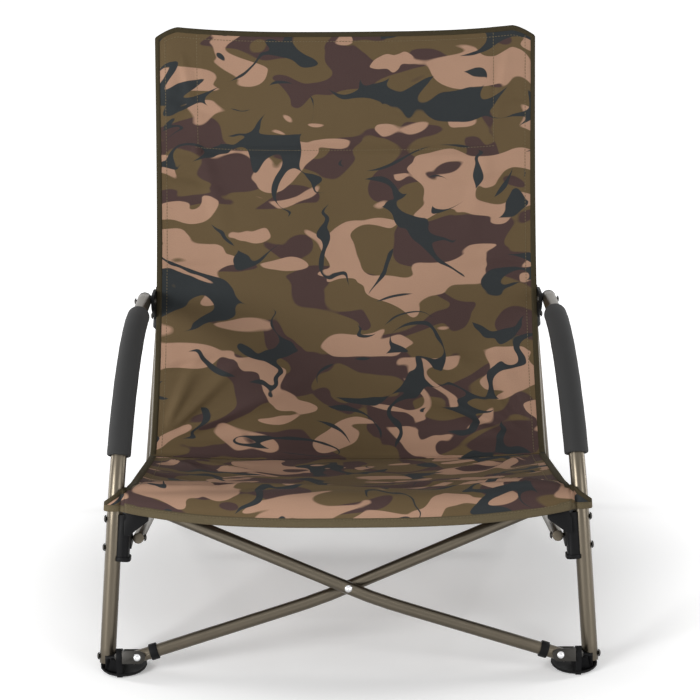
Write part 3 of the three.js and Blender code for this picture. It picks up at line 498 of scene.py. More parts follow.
def cloth_place(points, direction):
    """Cloth coordinates of a grid: across, and along from the join up or down."""
    steps = np.linalg.norm(np.diff(points[:, points.shape[1] // 2], axis=0), axis=1)
    reach = np.concatenate([[0], np.cumsum(steps)])
    along = np.broadcast_to(CLOTH_JOIN + direction * reach[:, None], points.shape[:2])
    return np.stack([points[..., 0], along], axis=2)


def pull(side, start, lean, far, rise, half_width):
    """A fold pulled from a start at a side edge, leaning up from the way across."""
    end = (start[0] - side * far * math.cos(lean), start[1] + far * math.sin(lean))
    return start, end, rise, half_width


def creases(flat, lines):
    """Height of pulled folds: each line has its ends, its height and its half width."""
    height = np.zeros(flat.shape[:2])
    for (ax, ay), (bx, by), rise, half_width in lines:
        a, d = np.array([ax, ay]), np.array([bx - ax, by - ay])
        share = ((flat - a) @ d) / (d @ d)
        off = np.abs((flat[..., 0] - ax) * d[1] - (flat[..., 1] - ay) * d[0]) / np.linalg.norm(d)
        spread = half_width * (FOLD_WIDTH + FOLD_WIDENING * ramp(share))
        fade = ramp(share * FOLD_START) * ramp((1 - share) * FOLD_END)
        height += rise * fade * np.exp(-(off / spread) ** 2)
    return height


def ripples(flat, seed, waves, longest, shortest):
    """Gentle unevenness: a few long waves in seeded directions, from -1 to 1."""
    rng = np.random.default_rng(seed)
    total = np.zeros(flat.shape[:2])
    for _ in range(waves):
        angle, phase = rng.uniform(0, math.pi), rng.uniform(0, 2 * math.pi)
        size = rng.uniform(shortest, longest)
        along = flat[..., 0] * math.cos(angle) + flat[..., 1] * math.sin(angle)
        total += np.sin(along * 2 * math.pi / size + phase)
    return total / waves


def unevenness(flat, lines, waves):
    """Folds and waves together, in shares of the wrinkle height."""
    height = creases(flat, lines)
    for share, *wave in waves:
        height = height + share * ripples(flat, *wave)
    return height


# Places on the CAD model

def to_frame(points):
    """Millimetres from the front feet to metres from the origin."""
    points = np.asarray(points, float).copy()
    points[..., 1] -= MIDDLE_Y
    return points * MM


def post_at(z):
    return np.array([POST_X - POST_IN * z, POST_Y + POST_BACK * z, z])


def leg_at(z):
    """Centre of a leg at a height, with the start of its bend."""
    y = (min(z, BEND_Z) - LEG_LOW) / math.tan(LEG_SLOPE)
    if z > BEND_Z:
        slope = math.acos(math.cos(LEG_SLOPE) + (z - BEND_Z) / BEND_RADIUS)
        y += BEND_RADIUS * (math.sin(LEG_SLOPE) - math.sin(slope))
    return np.array([LEG_X - LEG_IN * z + LEG_OUT * y, y, z])


def arm_at(reach):
    """Centre of the arm tube and its direction, along it from where the leg bends."""
    slope = LEG_SLOPE - min(reach, BEND_LENGTH) / BEND_RADIUS
    rest = max(0, reach - BEND_LENGTH)
    y = BEND_Y + BEND_RADIUS * (math.sin(LEG_SLOPE) - math.sin(slope)) + rest * math.cos(slope)
    z = BEND_Z + BEND_RADIUS * (math.cos(slope) - math.cos(LEG_SLOPE)) + rest * math.sin(slope)
    way = np.array([-LEG_IN * math.sin(slope), math.cos(slope), math.sin(slope)])
    return np.array([LEG_X - LEG_IN * z + LEG_OUT * y, y, z]), way / np.linalg.norm(way)


# The back

# In mm
BACK_HALF = 260
BACK_FLARE, FLARE_TOP, FLARE_POWER = 15, 712, 3.5  # wider below this height, most at the foot
BACK_TOP, BACK_PEAK, TOP_POWER = 717, 725, 3  # the top edge's middle, and its peaks at the posts
CORNER_DROP, CORNER_POWER = 13, 1.5  # from a peak down to the outer corner
BACK_LOW, BACK_DIP = 152, 11  # the foot at the sides, and how much lower its middle is
BACK_FORWARD = 14  # from the posts' centres to the cloth's side edges
BELLY, BELLY_LOSS = 14, 10  # of the middle to the rear at the foot, less at the top
SEAT_SLOPE, EDGE_SLOPE = 0.136, 0.09  # the seat's rise from its rear, and more at the sides
FOOT_GAP, TUCK_GAP, TUCK = 1.9, 1.7, 9  # the foot over the seat, and how far forward it lies
POCKET_LOW, POCKET_HIGH = 566, 720.5
POCKET_RADIUS, POCKET_WAVE, POCKET_WAVES = 12.4, 0.5, 19
POCKET_FRONT, POCKET_INNER, POCKET_OUTER = 12.6, 9, 5  # its front plane and sewn-down edges
POCKET_RINGS, POCKET_TURNS, POCKET_CLOSED = 22, (-200, 20, 23), 0.1
# As shares and counts
BACK_COLUMNS, BACK_ROWS, FOOT_ROWS, FOOT_SHARE = 121, 141, 9, 0.02
BACK_STITCH, POCKET_STITCH = 3, 13  # columns or rows in from the edge
SIDE_TAPE, TOP_TAPE = 0.8, 0.75  # of the binding's width
BACK_HOLD = 14  # how fast the wrinkles grow from the side edges
# In metres. FOOT_FOLD and SIDE_FOLD are a height, as a share of the wrinkle's, and a half width
BACK_FOLD_X, FOOT_FOLD, SIDE_FOLD = 0.255, (0.9, 0.009), (-0.45, 0.008)
# Pulled from the foot's corners: distance from the foot, lean and length
FOOT_FOLDS = ((0.02, 0.1, 0.17), (0.026, 0.42, 0.24), (0.032, 0.8, 0.2), (0.038, 1.15, 0.14))
# Pulled from the side edges: distance from the top, length across and fall
SIDE_FOLDS = ((0.09, 0.1, 0.035), (0.2, 0.13, 0.015), (0.33, 0.1, -0.005), (0.47, 0.13, -0.025))
# Along and below the pockets: ends as x and distance from the top, height and half width
POCKET_FOLDS = (((0.225, 0.03), (0.2, 0.16), 0.5, 0.008), ((0.2, 0.16), (0.15, 0.34), 0.35, 0.014))
# Share, seed, number, longest and shortest of the waves
BACK_WAVES = ((0.42, 5, 6, 0.34, 0.13), (0.1, 29, 9, 0.11, 0.05))
STITCHED_DROP, STITCHED_HALF = 0.16, 0.21  # the seam's stitches: from the top, and half their row
SEAM_DROP, SEAM_WIDTH, SEAM_HALF, SEAM_DEPTH = 0.163, 0.004, 0.212, 0.0036
SEAM_BOW, SEAM_CURVE = 0.004, 3
PILLOW, PILLOW_EDGE = 0.005, 0.05  # how the cloth above the seam swells, and its rounding
SLEEVE_X, SLEEVE_DROP, SLEEVE_SHARE = 0.2, 0.17, 0.7
FOOT_FLAT, FOOT_FADE = 0.02, 0.03
BACK_TAPE_HEIGHT = 0.00115


def back_points(u, v):
    """The back's surface in mm: u across from -1 to 1, and v up from 0 to 1."""
    edge = np.abs(u)
    peak = (POST_X - POST_IN * BACK_PEAK) / BACK_HALF
    top = np.where(
        edge < peak, BACK_TOP + (BACK_PEAK - BACK_TOP) * (edge / peak) ** TOP_POWER,
        BACK_PEAK - CORNER_DROP * (ramp(edge - peak) / (1 - peak)) ** CORNER_POWER)
    middle = 1 - u * u
    low = BACK_LOW - BACK_DIP * middle
    z = low + (top - low) * v
    seat_rear = SEAT_MIDDLE[0][1]
    flare = ramp(1 - (z - seat_rear) / (FLARE_TOP - seat_rear)) ** FLARE_POWER
    y = POST_Y + POST_BACK * z - BACK_FORWARD + (BELLY - BELLY_LOSS * v) * middle
    return np.stack([u * (BACK_HALF + BACK_FLARE * flare), y, z], axis=-1)


def back_outline():
    """The back's points in metres before its wrinkles, from the foot that turns over the seat."""
    u, v = np.meshgrid(np.linspace(-1, 1, BACK_COLUMNS), np.linspace(FOOT_SHARE, 1, BACK_ROWS))
    sheet = back_points(u, v)
    edge = np.abs(u[:1]) ** SIDE_POWER
    rear_y, rear_z = (a + (b - a) * edge for a, b in zip(SEAT_MIDDLE[0], SEAT_EDGE[0]))
    slope = SEAT_SLOPE + EDGE_SLOPE * edge
    turn = back_points(u[:1], v[:1] * 0)
    last = turn - (0, TUCK, 0)
    turn[..., 2] = rear_z + (rear_y - turn[..., 1]) * slope + FOOT_GAP
    last[..., 2] = rear_z + (rear_y - last[..., 1]) * slope + TUCK_GAP
    t = np.linspace(1, 0, FOOT_ROWS + 1)[:-1, None, None]
    curve = sheet[:1] * (1 - t) ** 2 + turn * 2 * t * (1 - t) + last * t**2
    return to_frame(np.concatenate([curve, sheet]))


def back_folds(low, high):
    """Folds pulled from the foot's corners, the side edges and the pockets."""
    lines = []
    for side in (-1, 1):
        x = side * BACK_FOLD_X
        for up, lean, far in FOOT_FOLDS:
            lines.append(pull(side, (x, low + up), lean, far, *FOOT_FOLD))
        for drop, far, fall in SIDE_FOLDS:
            lines.append(((x, high - drop), (x - side * far, high - drop - fall), *SIDE_FOLD))
        for (x0, drop0), (x1, drop1), rise, half_width in POCKET_FOLDS:
            lines.append(((side * x0, high - drop0), (side * x1, high - drop1), rise, half_width))
    return lines


def back_grid():
    """The back's points with their wrinkles, and its cloth coordinates, both in metres."""
    points = back_outline()
    flat = cloth_place(points, 1)
    u = np.broadcast_to(np.linspace(-1, 1, BACK_COLUMNS), points.shape[:2])
    across, along = np.abs(points[..., 0]), flat[..., 1]
    low, high = along.min(), along.max()
    hold = ramp((1 - np.abs(u)) * BACK_HOLD)
    seam = (high - SEAM_DROP) + SEAM_BOW * np.cos(u * SEAM_CURVE)
    tuck = np.exp(-((along - seam) / SEAM_WIDTH) ** 2) * (across < SEAM_HALF)
    pillow = ramp((along - seam) / PILLOW_EDGE) * ramp((high - along) / PILLOW_EDGE)
    rise = unevenness(flat, back_folds(low, high), BACK_WAVES) * settings("cloth").wrinkle * hold
    rise = rise + pillow * PILLOW * hold - tuck * SEAM_DEPTH
    sleeve = (across > SLEEVE_X) & (along > high - SLEEVE_DROP)
    rise = np.where(sleeve, np.abs(rise) * SLEEVE_SHARE, rise)
    rise *= ramp((along - low - FOOT_FLAT) / FOOT_FADE)
    return points + grid_normals(points) * rise[..., None], flat


class CHAIR_OT_back(bpy.types.Operator):
    """Makes the back: cloth, edge tape, stitching and the pockets that take the posts"""
    bl_idname = "chair.back"
    bl_label = "Back cloth"

    def execute(self, context):
        cloth_sizes = settings("cloth")
        points, flat = back_grid()
        normal = grid_normals(points)
        front = normal * np.sign(-normal[..., 1:2])
        cloth = thick_grid("back_sheet", points, flat, cloth_sizes.thickness, "camouflage_cloth",
                           "left_frame")
        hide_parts("back_cloth")
        made = [cloth]
        for name, edge, inner, share in (
                ("left", np.s_[:, 0], np.s_[:, 1], SIDE_TAPE),
                ("right", np.s_[:, -1], np.s_[:, -2], SIDE_TAPE),
                ("top", np.s_[-1], np.s_[-2], TOP_TAPE)):
            made.append(edge_tape(
                "back_tape_" + name, points[edge], points[inner], front[edge],
                cloth_sizes.binding * share, BACK_TAPE_HEIGHT, "edge_tape", "left_frame"))
        along = flat[:, 0, 1]
        high = along.max()
        pocket_rows = along > high - STITCHED_DROP
        rows = [
            np.s_[:, BACK_STITCH], np.s_[:, -1 - BACK_STITCH],
            np.s_[-1 - BACK_STITCH, BACK_STITCH:-BACK_STITCH],
            (pocket_rows, POCKET_STITCH), (pocket_rows, -1 - POCKET_STITCH)]
        lift = cloth_sizes.thickness / 2
        for k, row in enumerate(rows):
            made.append(stitches(f"back_stitches_{k}", points[row], front[row], lift, "left_frame"))
        seam = int(np.argmin(np.abs(along - (high - STITCHED_DROP))))
        row = (seam, np.abs(points[seam, :, 0]) < STITCHED_HALF)
        made.append(stitches("back_seam_stitches", points[row], front[row], lift, "left_frame"))
        for thing in made:
            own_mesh(thing)
        made += [self.pocket(name, side) for name, side in SIDES]
        return {"FINISHED"}

    @staticmethod
    def pocket(name, side):
        """Cloth sleeve behind a top corner, sewn down both sides of the post and closed on top."""
        rings = []
        for share in np.linspace(0, 1, POCKET_RINGS):
            z = POCKET_LOW + (POCKET_HIGH - POCKET_LOW) * share
            x, y, _ = post_at(z)
            depth = POCKET_CLOSED if share == 1 else 1
            radius = POCKET_RADIUS + POCKET_WAVE * math.sin(share * POCKET_WAVES)
            ring = [
                (side * (x + radius * math.cos(turn)), y - radius * math.sin(turn) * depth, z)
                for turn in np.radians(np.linspace(*POCKET_TURNS))]
            front = y - POCKET_FRONT
            rings.append([(ring[0][0] - side * POCKET_INNER, front, z), *ring,
                          (ring[-1][0] + side * POCKET_OUTER, front, z)])
        return loft("back_pocket_" + name, to_frame(rings), "camouflage_cloth",
                    name + "_frame")


# The seat

SEAT_HALF, SEAT_WIDENING = 274, 0.6  # in mm, at the rear, and its gain to the front
SEAT_COLUMNS, SEAT_ROWS = 121, 111
SEAT_STITCH, CORNER_ROW = 4, 64  # columns in from the edge, and the row at the leg
# Folds in metres: where they start from the front or rear edge, then lean, length and height
FRONT_CORNER, REAR_CORNER = (0.268, 0.004), (0.262, -0.014)
FRONT_FOLD_WIDTH, REAR_FOLD_WIDTH = 0.008, 0.009
FRONT_FOLDS = ((0.16, 0.22, 0.8), (0.4, 0.25, 1.1), (0.68, 0.22, 0.9), (1.0, 0.17, 0.7),
               (1.35, 0.12, 0.5))
REAR_FOLDS = ((-0.2, 0.16, 0.9), (-0.55, 0.2, 0.9), (-0.95, 0.15, 0.9))
# Pulled from the side edges: where, how far they fall, and their height and half width
SEAT_FOLD_X, SEAT_FOLD_FALL, SEAT_SIDE_FOLD = 0.27, 0.02, (-0.5, 0.007)
# Their length, and distance from the front edge
SEAT_SIDE_FOLDS = ((0.12, 0.1), (0.15, 0.19))
# Across the front: ends as x and distance from the front edge, height and half width
ACROSS_FOLDS = (
    ((-0.19, 0.03), (0.16, 0.022), 0.6, 0.009), ((0.2, 0.07), (-0.12, 0.085), 0.5, 0.012))
# Share, seed, number, longest and shortest of the waves
SEAT_WAVES = ((0.5, 11, 7, 0.3, 0.11), (0.16, 23, 9, 0.1, 0.04))
SEAT_HOLD, REAR_HOLD, FRONT_HOLD, FRONT_LEAST = 16, 8, 3.2, 0.1  # how fast the wrinkles grow
SEAT_TAPE_HEIGHT, HEM_HEIGHT, HEM_STITCH_LIFT, HEM_STITCH_SHARE = 0.0014, 0.0016, 0.0017, 0.8


def seat_folds(front):
    """Folds pulled from the four corners, the side edges and across the front."""
    lines = []
    for side in (-1, 1):
        for (x, up), edge, folds, half_width in (
                (FRONT_CORNER, front, FRONT_FOLDS, FRONT_FOLD_WIDTH),
                (REAR_CORNER, CLOTH_JOIN, REAR_FOLDS, REAR_FOLD_WIDTH)):
            lines += [pull(side, (side * x, edge + up), *fold, half_width) for fold in folds]
        for far, place in SEAT_SIDE_FOLDS:
            end = (side * (SEAT_FOLD_X - far), front + place - SEAT_FOLD_FALL)
            lines.append(((side * SEAT_FOLD_X, front + place), end, *SEAT_SIDE_FOLD))
    for (x0, up0), (x1, up1), rise, half_width in ACROSS_FOLDS:
        lines.append(((x0, front + up0), (x1, front + up1), rise, half_width))
    return lines


def seat_grid():
    """The seat's points with their wrinkles, its cloth coordinates and its upward normals."""
    spans = np.linspace(0, 1, SEAT_ROWS)
    u, v = np.meshgrid(np.linspace(-1, 1, SEAT_COLUMNS), spans)
    middle, edge = (on_line(line, spans)[:, None, :] for line in (SEAT_MIDDLE, SEAT_EDGE))
    share = np.abs(u)[..., None] ** SIDE_POWER
    yz = middle * (1 - share) + edge * share
    x = u * (SEAT_HALF + SEAT_WIDENING * v)
    points = to_frame(np.concatenate([x[..., None], yz], axis=2))
    flat = cloth_place(points, -1)
    front = float(np.interp(SEAT_FRONT_POINT / (len(SEAT_MIDDLE) - 1), spans, flat[:, 0, 1]))
    hold = ramp((1 - np.abs(u)) * SEAT_HOLD) * ramp(v * REAR_HOLD)
    rise = unevenness(flat, seat_folds(front), SEAT_WAVES) * settings("cloth").wrinkle * hold
    rise = rise * np.clip((1 - v) * FRONT_HOLD, FRONT_LEAST, 1)
    normal = grid_normals(points)
    up = normal * np.sign(normal[SEAT_ROWS // 3, SEAT_COLUMNS // 2, 2])
    return points + up * rise[..., None], flat, up


class CHAIR_OT_seat(bpy.types.Operator):
    """Makes the seat: cloth, side tape, front hem and stitching"""
    bl_idname = "chair.seat"
    bl_label = "Seat cloth"

    def execute(self, context):
        cloth_sizes = settings("cloth")
        points, flat, up = seat_grid()
        cloth = thick_grid("seat_sheet", points, flat, cloth_sizes.thickness, "camouflage_cloth",
                           "seat")
        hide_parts("seat_cloth")
        made = [cloth]
        for name, column, inner in (("left", 0, 1), ("right", -1, -2)):
            side = slice(0, CORNER_ROW + 1)
            made.append(edge_tape(
                "seat_tape_" + name, points[side, column], points[side, inner], up[side, column],
                cloth_sizes.binding, SEAT_TAPE_HEIGHT, "edge_tape", "seat"))
        made.append(edge_tape("seat_hem", points[-1], points[-2], up[-1], cloth_sizes.hem,
                              HEM_HEIGHT, "hem_band", "seat"))
        for name, column in (("left", SEAT_STITCH), ("right", -1 - SEAT_STITCH)):
            made.append(stitches(
                "seat_stitches_" + name, points[:CORNER_ROW, column], up[:CORNER_ROW, column],
                cloth_sizes.thickness / 2, "seat"))
        step = inward(points[-1], points[-2]) * (cloth_sizes.hem * HEM_STITCH_SHARE)
        made.append(stitches("seat_hem_stitches", points[-1] + step, up[-1], HEM_STITCH_LIFT,
                             "seat"))
        for thing in made:
            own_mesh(thing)
        return {"FINISHED"}


# The corners. A band's lower edge, its upper edge and how that rises on the seat's side, in mm
BAND_LOW, BAND_HIGH, BAND_RISE = 198.0, 215.5, 8.5
WRAP_RADIUS, CORNER_RADIUS = 11.35, 13.1
# Round the leg, in degrees
WRAP_START, WRAP_COLUMNS, WRAP_ROWS = -8, 61, 13
CORNER_TURNS, CORNER_COLUMNS, CORNER_LEAN = (128, 104, 80, 56, 32, 8), 25, 0.55
# In metres, the first three as cloth coordinates
WRAP_LENGTH, WRAP_CLOTH_HIGH, WRAP_CLOTH_LOW = 0.071, 0.5, 0.48
WRAP_THICKNESS, CORNER_THICKNESS, CORNER_TAPE_HEIGHT = 0.001, 0.0012, 0.0012
CORNER_FORWARD, CORNER_LIFT = 0.0012, 0.0003
CORNER_TAPE, CORNER_HEM = 0.006, 0.007


def corner_band(side, radius, turns, rows):
    """Cloth round a leg, broad on the seat's side and narrow on the outer side."""
    grid = []
    for t in np.linspace(0, 1, rows):
        line = []
        for turn in turns:
            high = BAND_HIGH - BAND_RISE * math.cos(turn)
            z = high + (BAND_LOW - high) * t
            x, y, _ = leg_at(z)
            tilt = (leg_at(z + 1) - leg_at(z - 1))[1] / 2
            off = -radius * math.sin(turn)
            line.append((side * (x + radius * math.cos(turn)), y + off, z - off * tilt))
        grid.append(line)
    return to_frame(grid)


def drawn_corner(edge, outer):
    """Grid from the seat's side edge out round the leg."""
    shares = np.linspace(0, 1, CORNER_COLUMNS)
    grid = []
    for from_seat, round_leg in zip(edge, outer):
        lean = (from_seat * (1 - CORNER_LEAN) + round_leg[0] * CORNER_LEAN
                + np.array([0, -CORNER_FORWARD, 0]))
        grid.append(on_line(np.vstack([from_seat, lean, round_leg]), shares))
    return np.array(grid)


class CHAIR_OT_wraps(bpy.types.Operator):
    """Makes the seat's front corners, drawn out round the legs, with their tape and hem"""
    bl_idname = "chair.wraps"
    bl_label = "Corner wraps"

    def execute(self, context):
        seat, seat_flat, up = seat_grid()
        turns = np.radians(np.linspace(WRAP_START, WRAP_START + 360, WRAP_COLUMNS))
        wrap_flat = np.stack(np.meshgrid(
            np.linspace(0, WRAP_LENGTH, WRAP_COLUMNS),
            np.linspace(WRAP_CLOTH_HIGH, WRAP_CLOTH_LOW, WRAP_ROWS)), axis=2)
        for name, side in SIDES:
            body = name + "_frame"
            band = corner_band(side, WRAP_RADIUS, turns, WRAP_ROWS)
            wrap = thick_grid("seat_wrap_" + name, band, wrap_flat, WRAP_THICKNESS, "edge_tape",
                              body)
            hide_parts("seat_corner_wrap_" + name)
            column = -1 if side > 0 else 0
            edge = (seat + up * CORNER_LIFT)[CORNER_ROW:, column]
            rows = len(edge)
            outer = corner_band(side, CORNER_RADIUS, np.radians(CORNER_TURNS), rows)
            grid = drawn_corner(edge, outer)
            steps = np.linalg.norm(np.diff(grid, axis=1), axis=2)
            across = np.concatenate([np.zeros((rows, 1)), np.cumsum(steps, axis=1)], axis=1)
            along = np.broadcast_to(seat_flat[CORNER_ROW:, column, 1:2], across.shape)
            flat = np.stack([side * (SEAT_HALF * MM + across), along], axis=2)
            normal = grid_normals(grid)
            made = [thick_grid("seat_corner_" + name, grid, flat, CORNER_THICKNESS,
                               "camouflage_cloth", body)]
            for label, row, inner, width, material in (
                    ("tape", 0, 1, CORNER_TAPE, "edge_tape"),
                    ("hem", -1, -2, CORNER_HEM, "hem_band")):
                made.append(edge_tape(
                    f"seat_corner_{label}_{name}", grid[row], grid[inner], normal[row], width,
                    CORNER_TAPE_HEIGHT, material, body))
        return {"FINISHED"}


# The grips, in mm along the arm tube

GRIP_START, GRIP_END = 87, 352
GRIP_BORE, GRIP_RADIUS = 10.9, 15.1
GRIP_ROUNDING = ((0, GRIP_BORE), (0, 13.6), (0.5, 14.5), (1.6, 15.0), (4, GRIP_RADIUS))
GRIP_WAVE, GRIP_WAVE_SHORT, GRIP_WAVE_LONG = 0.12, 7, 23
GRIP_INSET, BORE_INSET = 8, 6  # from each end to the first ring outside and in the bore
GRIP_RINGS, BORE_RINGS, GRIP_SIDES = 60, 40, 40


class CHAIR_OT_grips(bpy.types.Operator):
    """Makes the foam grips on the arms, with rounded ends"""
    bl_idname = "chair.grips"
    bl_label = "Foam grips"

    def execute(self, context):
        profile = [(GRIP_START + a, r) for a, r in GRIP_ROUNDING]
        for t in np.linspace(GRIP_START + GRIP_INSET, GRIP_END - GRIP_INSET, GRIP_RINGS):
            wave = GRIP_WAVE * math.sin(t / GRIP_WAVE_SHORT) * math.sin(t / GRIP_WAVE_LONG)
            profile.append((t, GRIP_RADIUS + wave))
        profile += [(GRIP_END - a, r) for a, r in reversed(GRIP_ROUNDING)]
        profile += [(t, GRIP_BORE) for t in np.linspace(
            GRIP_END - BORE_INSET, GRIP_START + BORE_INSET, BORE_RINGS)]
        angles = [k * 2 * math.pi / GRIP_SIDES for k in range(GRIP_SIDES)]
        for name, side in SIDES:
            rings = []
            for reach, radius in profile:
                centre, way = arm_at(reach)
                out = np.array([1.0, 0, 0]) - way * way[0]
                out /= np.linalg.norm(out)
                up = np.cross(way, out)
                ring = [centre + (out * math.cos(a) + up * math.sin(a)) * radius for a in angles]
                rings.append([(side * x, y, z) for x, y, z in ring])
            grip = loft("arm_grip_" + name, to_frame(rings), "grip_foam",
                        name + "_frame", endless=True)
            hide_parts("foam_grip_" + name)
        return {"FINISHED"}


# The frame, in mm

# Radius and height of a rivet's dimpled head, and how deep it starts inside the CAD rivet's end
RIVET_HEAD = ((0.01, 2.15), (1.2, 2.15), (1.5, 2.5), (3.0, 2.2), (4.3, 1.2), (4.9, 0.35),
              (4.9, 0.0))
HEAD_DEPTH, HEAD_LAP = 2.6, 0.05
SHANK_RADIUS, SHANK_MIDDLE, SHANK_RIM = 2.6, 0.01, 0.1
CAD_HEAD = 10  # width of a CAD rivet's head
SQUARE_RIVETS = ("clevis_pin", "cross_top_pin", "centre")  # square to the crossed tubes' plane
OUTER_HEADS = ("front_foot_rivet", "rear_leg_rivet", "bracket_rivet_upper", "bracket_rivet_lower")
INNER_HEADS = ("strut_rear_rivet",)
REAR_HEADS = ("cross_top_pin",)
BRIGHT_RIVETS = ("clevis_pin", "centre")
PLUG_PROFILE = ((0.01, -0.2), (6.6, -0.2), (7.0, 0.0), (8.0, 0.1), (7.6, 0.9), (6.2, 1.8),
                (3.5, 2.3), (0.01, 2.4))
PLUG_GAP = 0.25
FINISHES = {
    "painted_tube": "tube_paint",
    "bright_rivet": "plated_steel",
    "black_plastic": "moulded_plastic",
    "grip_foam": "grip_foam",
    "chair_cloth": "camouflage_cloth",
}
PIECE_FINISHES = {"foot_clevis": "clevis_paint"}
# In metres
WELD, SOFT_EDGE, MOULDED_EDGE = 0.00002, 0.0003, 0.0005
SHARP = math.radians(42)


def stem_of(node):
    return node.rsplit("_", 1)[0]


def node_body(node):
    return next(b for b, nodes in frame["record"]["behaviour"]["bodies"].items() if node in nodes)


def rivet_profile(half, near, far):
    """Radius and height along a rivet, with a head on the ends that have one."""
    inner = half - HEAD_DEPTH

    def end(headed):
        if headed:
            return [*((r, inner + h) for r, h in RIVET_HEAD), (SHANK_RADIUS, inner - HEAD_LAP)]
        return [(SHANK_MIDDLE, half), (SHANK_RADIUS, half), (SHANK_RADIUS, half - SHANK_RIM)]

    return [(r, -h) for r, h in end(near)] + end(far)[::-1]


class CHAIR_OT_rivets(bpy.types.Operator):
    """Makes the rivets: a domed head with a dimple on each end that shows"""
    bl_idname = "chair.rivets"
    bl_label = "Rivets"

    def execute(self, context):
        across = Vector((1, 0, 0))
        square = Vector((0, -math.sin(CROSS_TILT), math.cos(CROSS_TILT)))
        for node in frame["nodes"]:
            if not any(word in node for word in ("rivet", "_pin")):
                continue
            stem = stem_of(node)
            low, high = (Vector(c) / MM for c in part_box(node))
            centre = (low + high) / 2
            if stem in SQUARE_RIVETS:
                axis = square
                half = (high.y - low.y - CAD_HEAD * abs(square.z)) / 2 / abs(square.y)
            else:
                axis = across
                half = (high.x - low.x) / 2
            right = centre.x > 0
            near = far = True
            if stem in OUTER_HEADS:
                near, far = not right, right
            elif stem in INNER_HEADS:
                near, far = right, not right
            elif stem in REAR_HEADS:
                far = False
            shine = "plated_steel" if stem in BRIGHT_RIVETS else "clevis_paint"
            made = turned(node + "_shape", rivet_profile(half, near, far), centre, axis, shine,
                          node_body(node))
            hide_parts(node)
        return {"FINISHED"}


class CHAIR_OT_plugs(bpy.types.Operator):
    """Makes the plastic plugs in the upper ends of the crossed tubes"""
    bl_idname = "chair.plugs"
    bl_label = "Tube plugs"

    def execute(self, context):
        turn = np.array(Matrix.Rotation(CROSS_TILT, 3, "X"))
        for name, side in SIDES:
            top = np.array([-side * CROSS_PIN_X, CROSS_PIN_UP, 0.0])
            up = top - np.array([0, CROSS_PIVOT, 0])
            up /= np.linalg.norm(up)
            bowed = np.array([0, CROSS_PIVOT, side * CROSS_BOW]) + up * CROSS_BOWED
            end = top + up * CROSS_PAST_PIN
            way = end - bowed
            way /= np.linalg.norm(way)
            turned("cross_plug_" + name, PLUG_PROFILE, CROSS_ORIGIN + turn @ (end + way * PLUG_GAP),
                   turn @ way, "moulded_plastic", "cross_" + name)
        return {"FINISHED"}


class CHAIR_OT_finishes(bpy.types.Operator):
    """Gives every piece of the frame its finish and smooths its round faces"""
    bl_idname = "chair.finishes"
    bl_label = "Frame finishes"

    def execute(self, context):
        slots = {s["node"]: s["material_slot"] for s in frame["record"]["subparts"]}
        for node, shown in frame["nodes"].items():
            material = finish(PIECE_FINISHES.get(stem_of(node)) or FINISHES[slots[node]])
            if not shown.material_slots:
                shown.data.materials.append(material)
            for slot in shown.material_slots:
                slot.material = material
            weld = shown.modifiers.new("weld", "WELD")
            weld.merge_threshold = WELD
            bevel = shown.modifiers.new("soft edges", "BEVEL")
            bevel.width = MOULDED_EDGE if slots[node] == "black_plastic" else SOFT_EDGE
            bevel.segments = 2
            bevel.limit_method = "ANGLE"
            bevel.angle_limit = SHARP
            shown.data.polygons.foreach_set("use_smooth", [True] * len(shown.data.polygons))
        return {"FINISHED"}


# The stage, in metres

# Name, place, size and share of the key light's power
LIGHTS = (
    ("key", (-2.2, -2.3, 1.05), (1.0, 1.0), 1.3),
    ("fill", (2.1, -2.3, 0.9), (1.4, 1.4), 0.44),
    ("top", (0.1, 0.5, 2.8), (2.2, 2.2), 0.05),
    ("high strip", (0.0, -1.7, 2.2), (2.8, 0.1), 0.08),
    ("left strip", (-1.5, 0.2, 0.7), (0.25, 1.3), 0.16),
    ("right strip", (1.5, 0.2, 0.7), (0.25, 1.3), 0.16),
)
LIT_POINT = Vector((0, 0, 0.35))  # where they all aim
WORLD_LIGHT, WHITE = 0.11, 1.0
LENS, SENSOR, SHIFT = 101.55, 36, 3 / 700  # lens and sensor in mm, shift in image widths
CAMERA_PLACE = (0, -2.4875, 1.135)
CAMERA_TILT, CAMERA_ROLL = math.radians(72.121), math.radians(-0.36)
FLOOR_SIZE = 30
GLOW_NEAR, GLOW_FAR, GLOW_UNDER = 0.3, 0.85, 0.14  # where the floor's white starts and is full


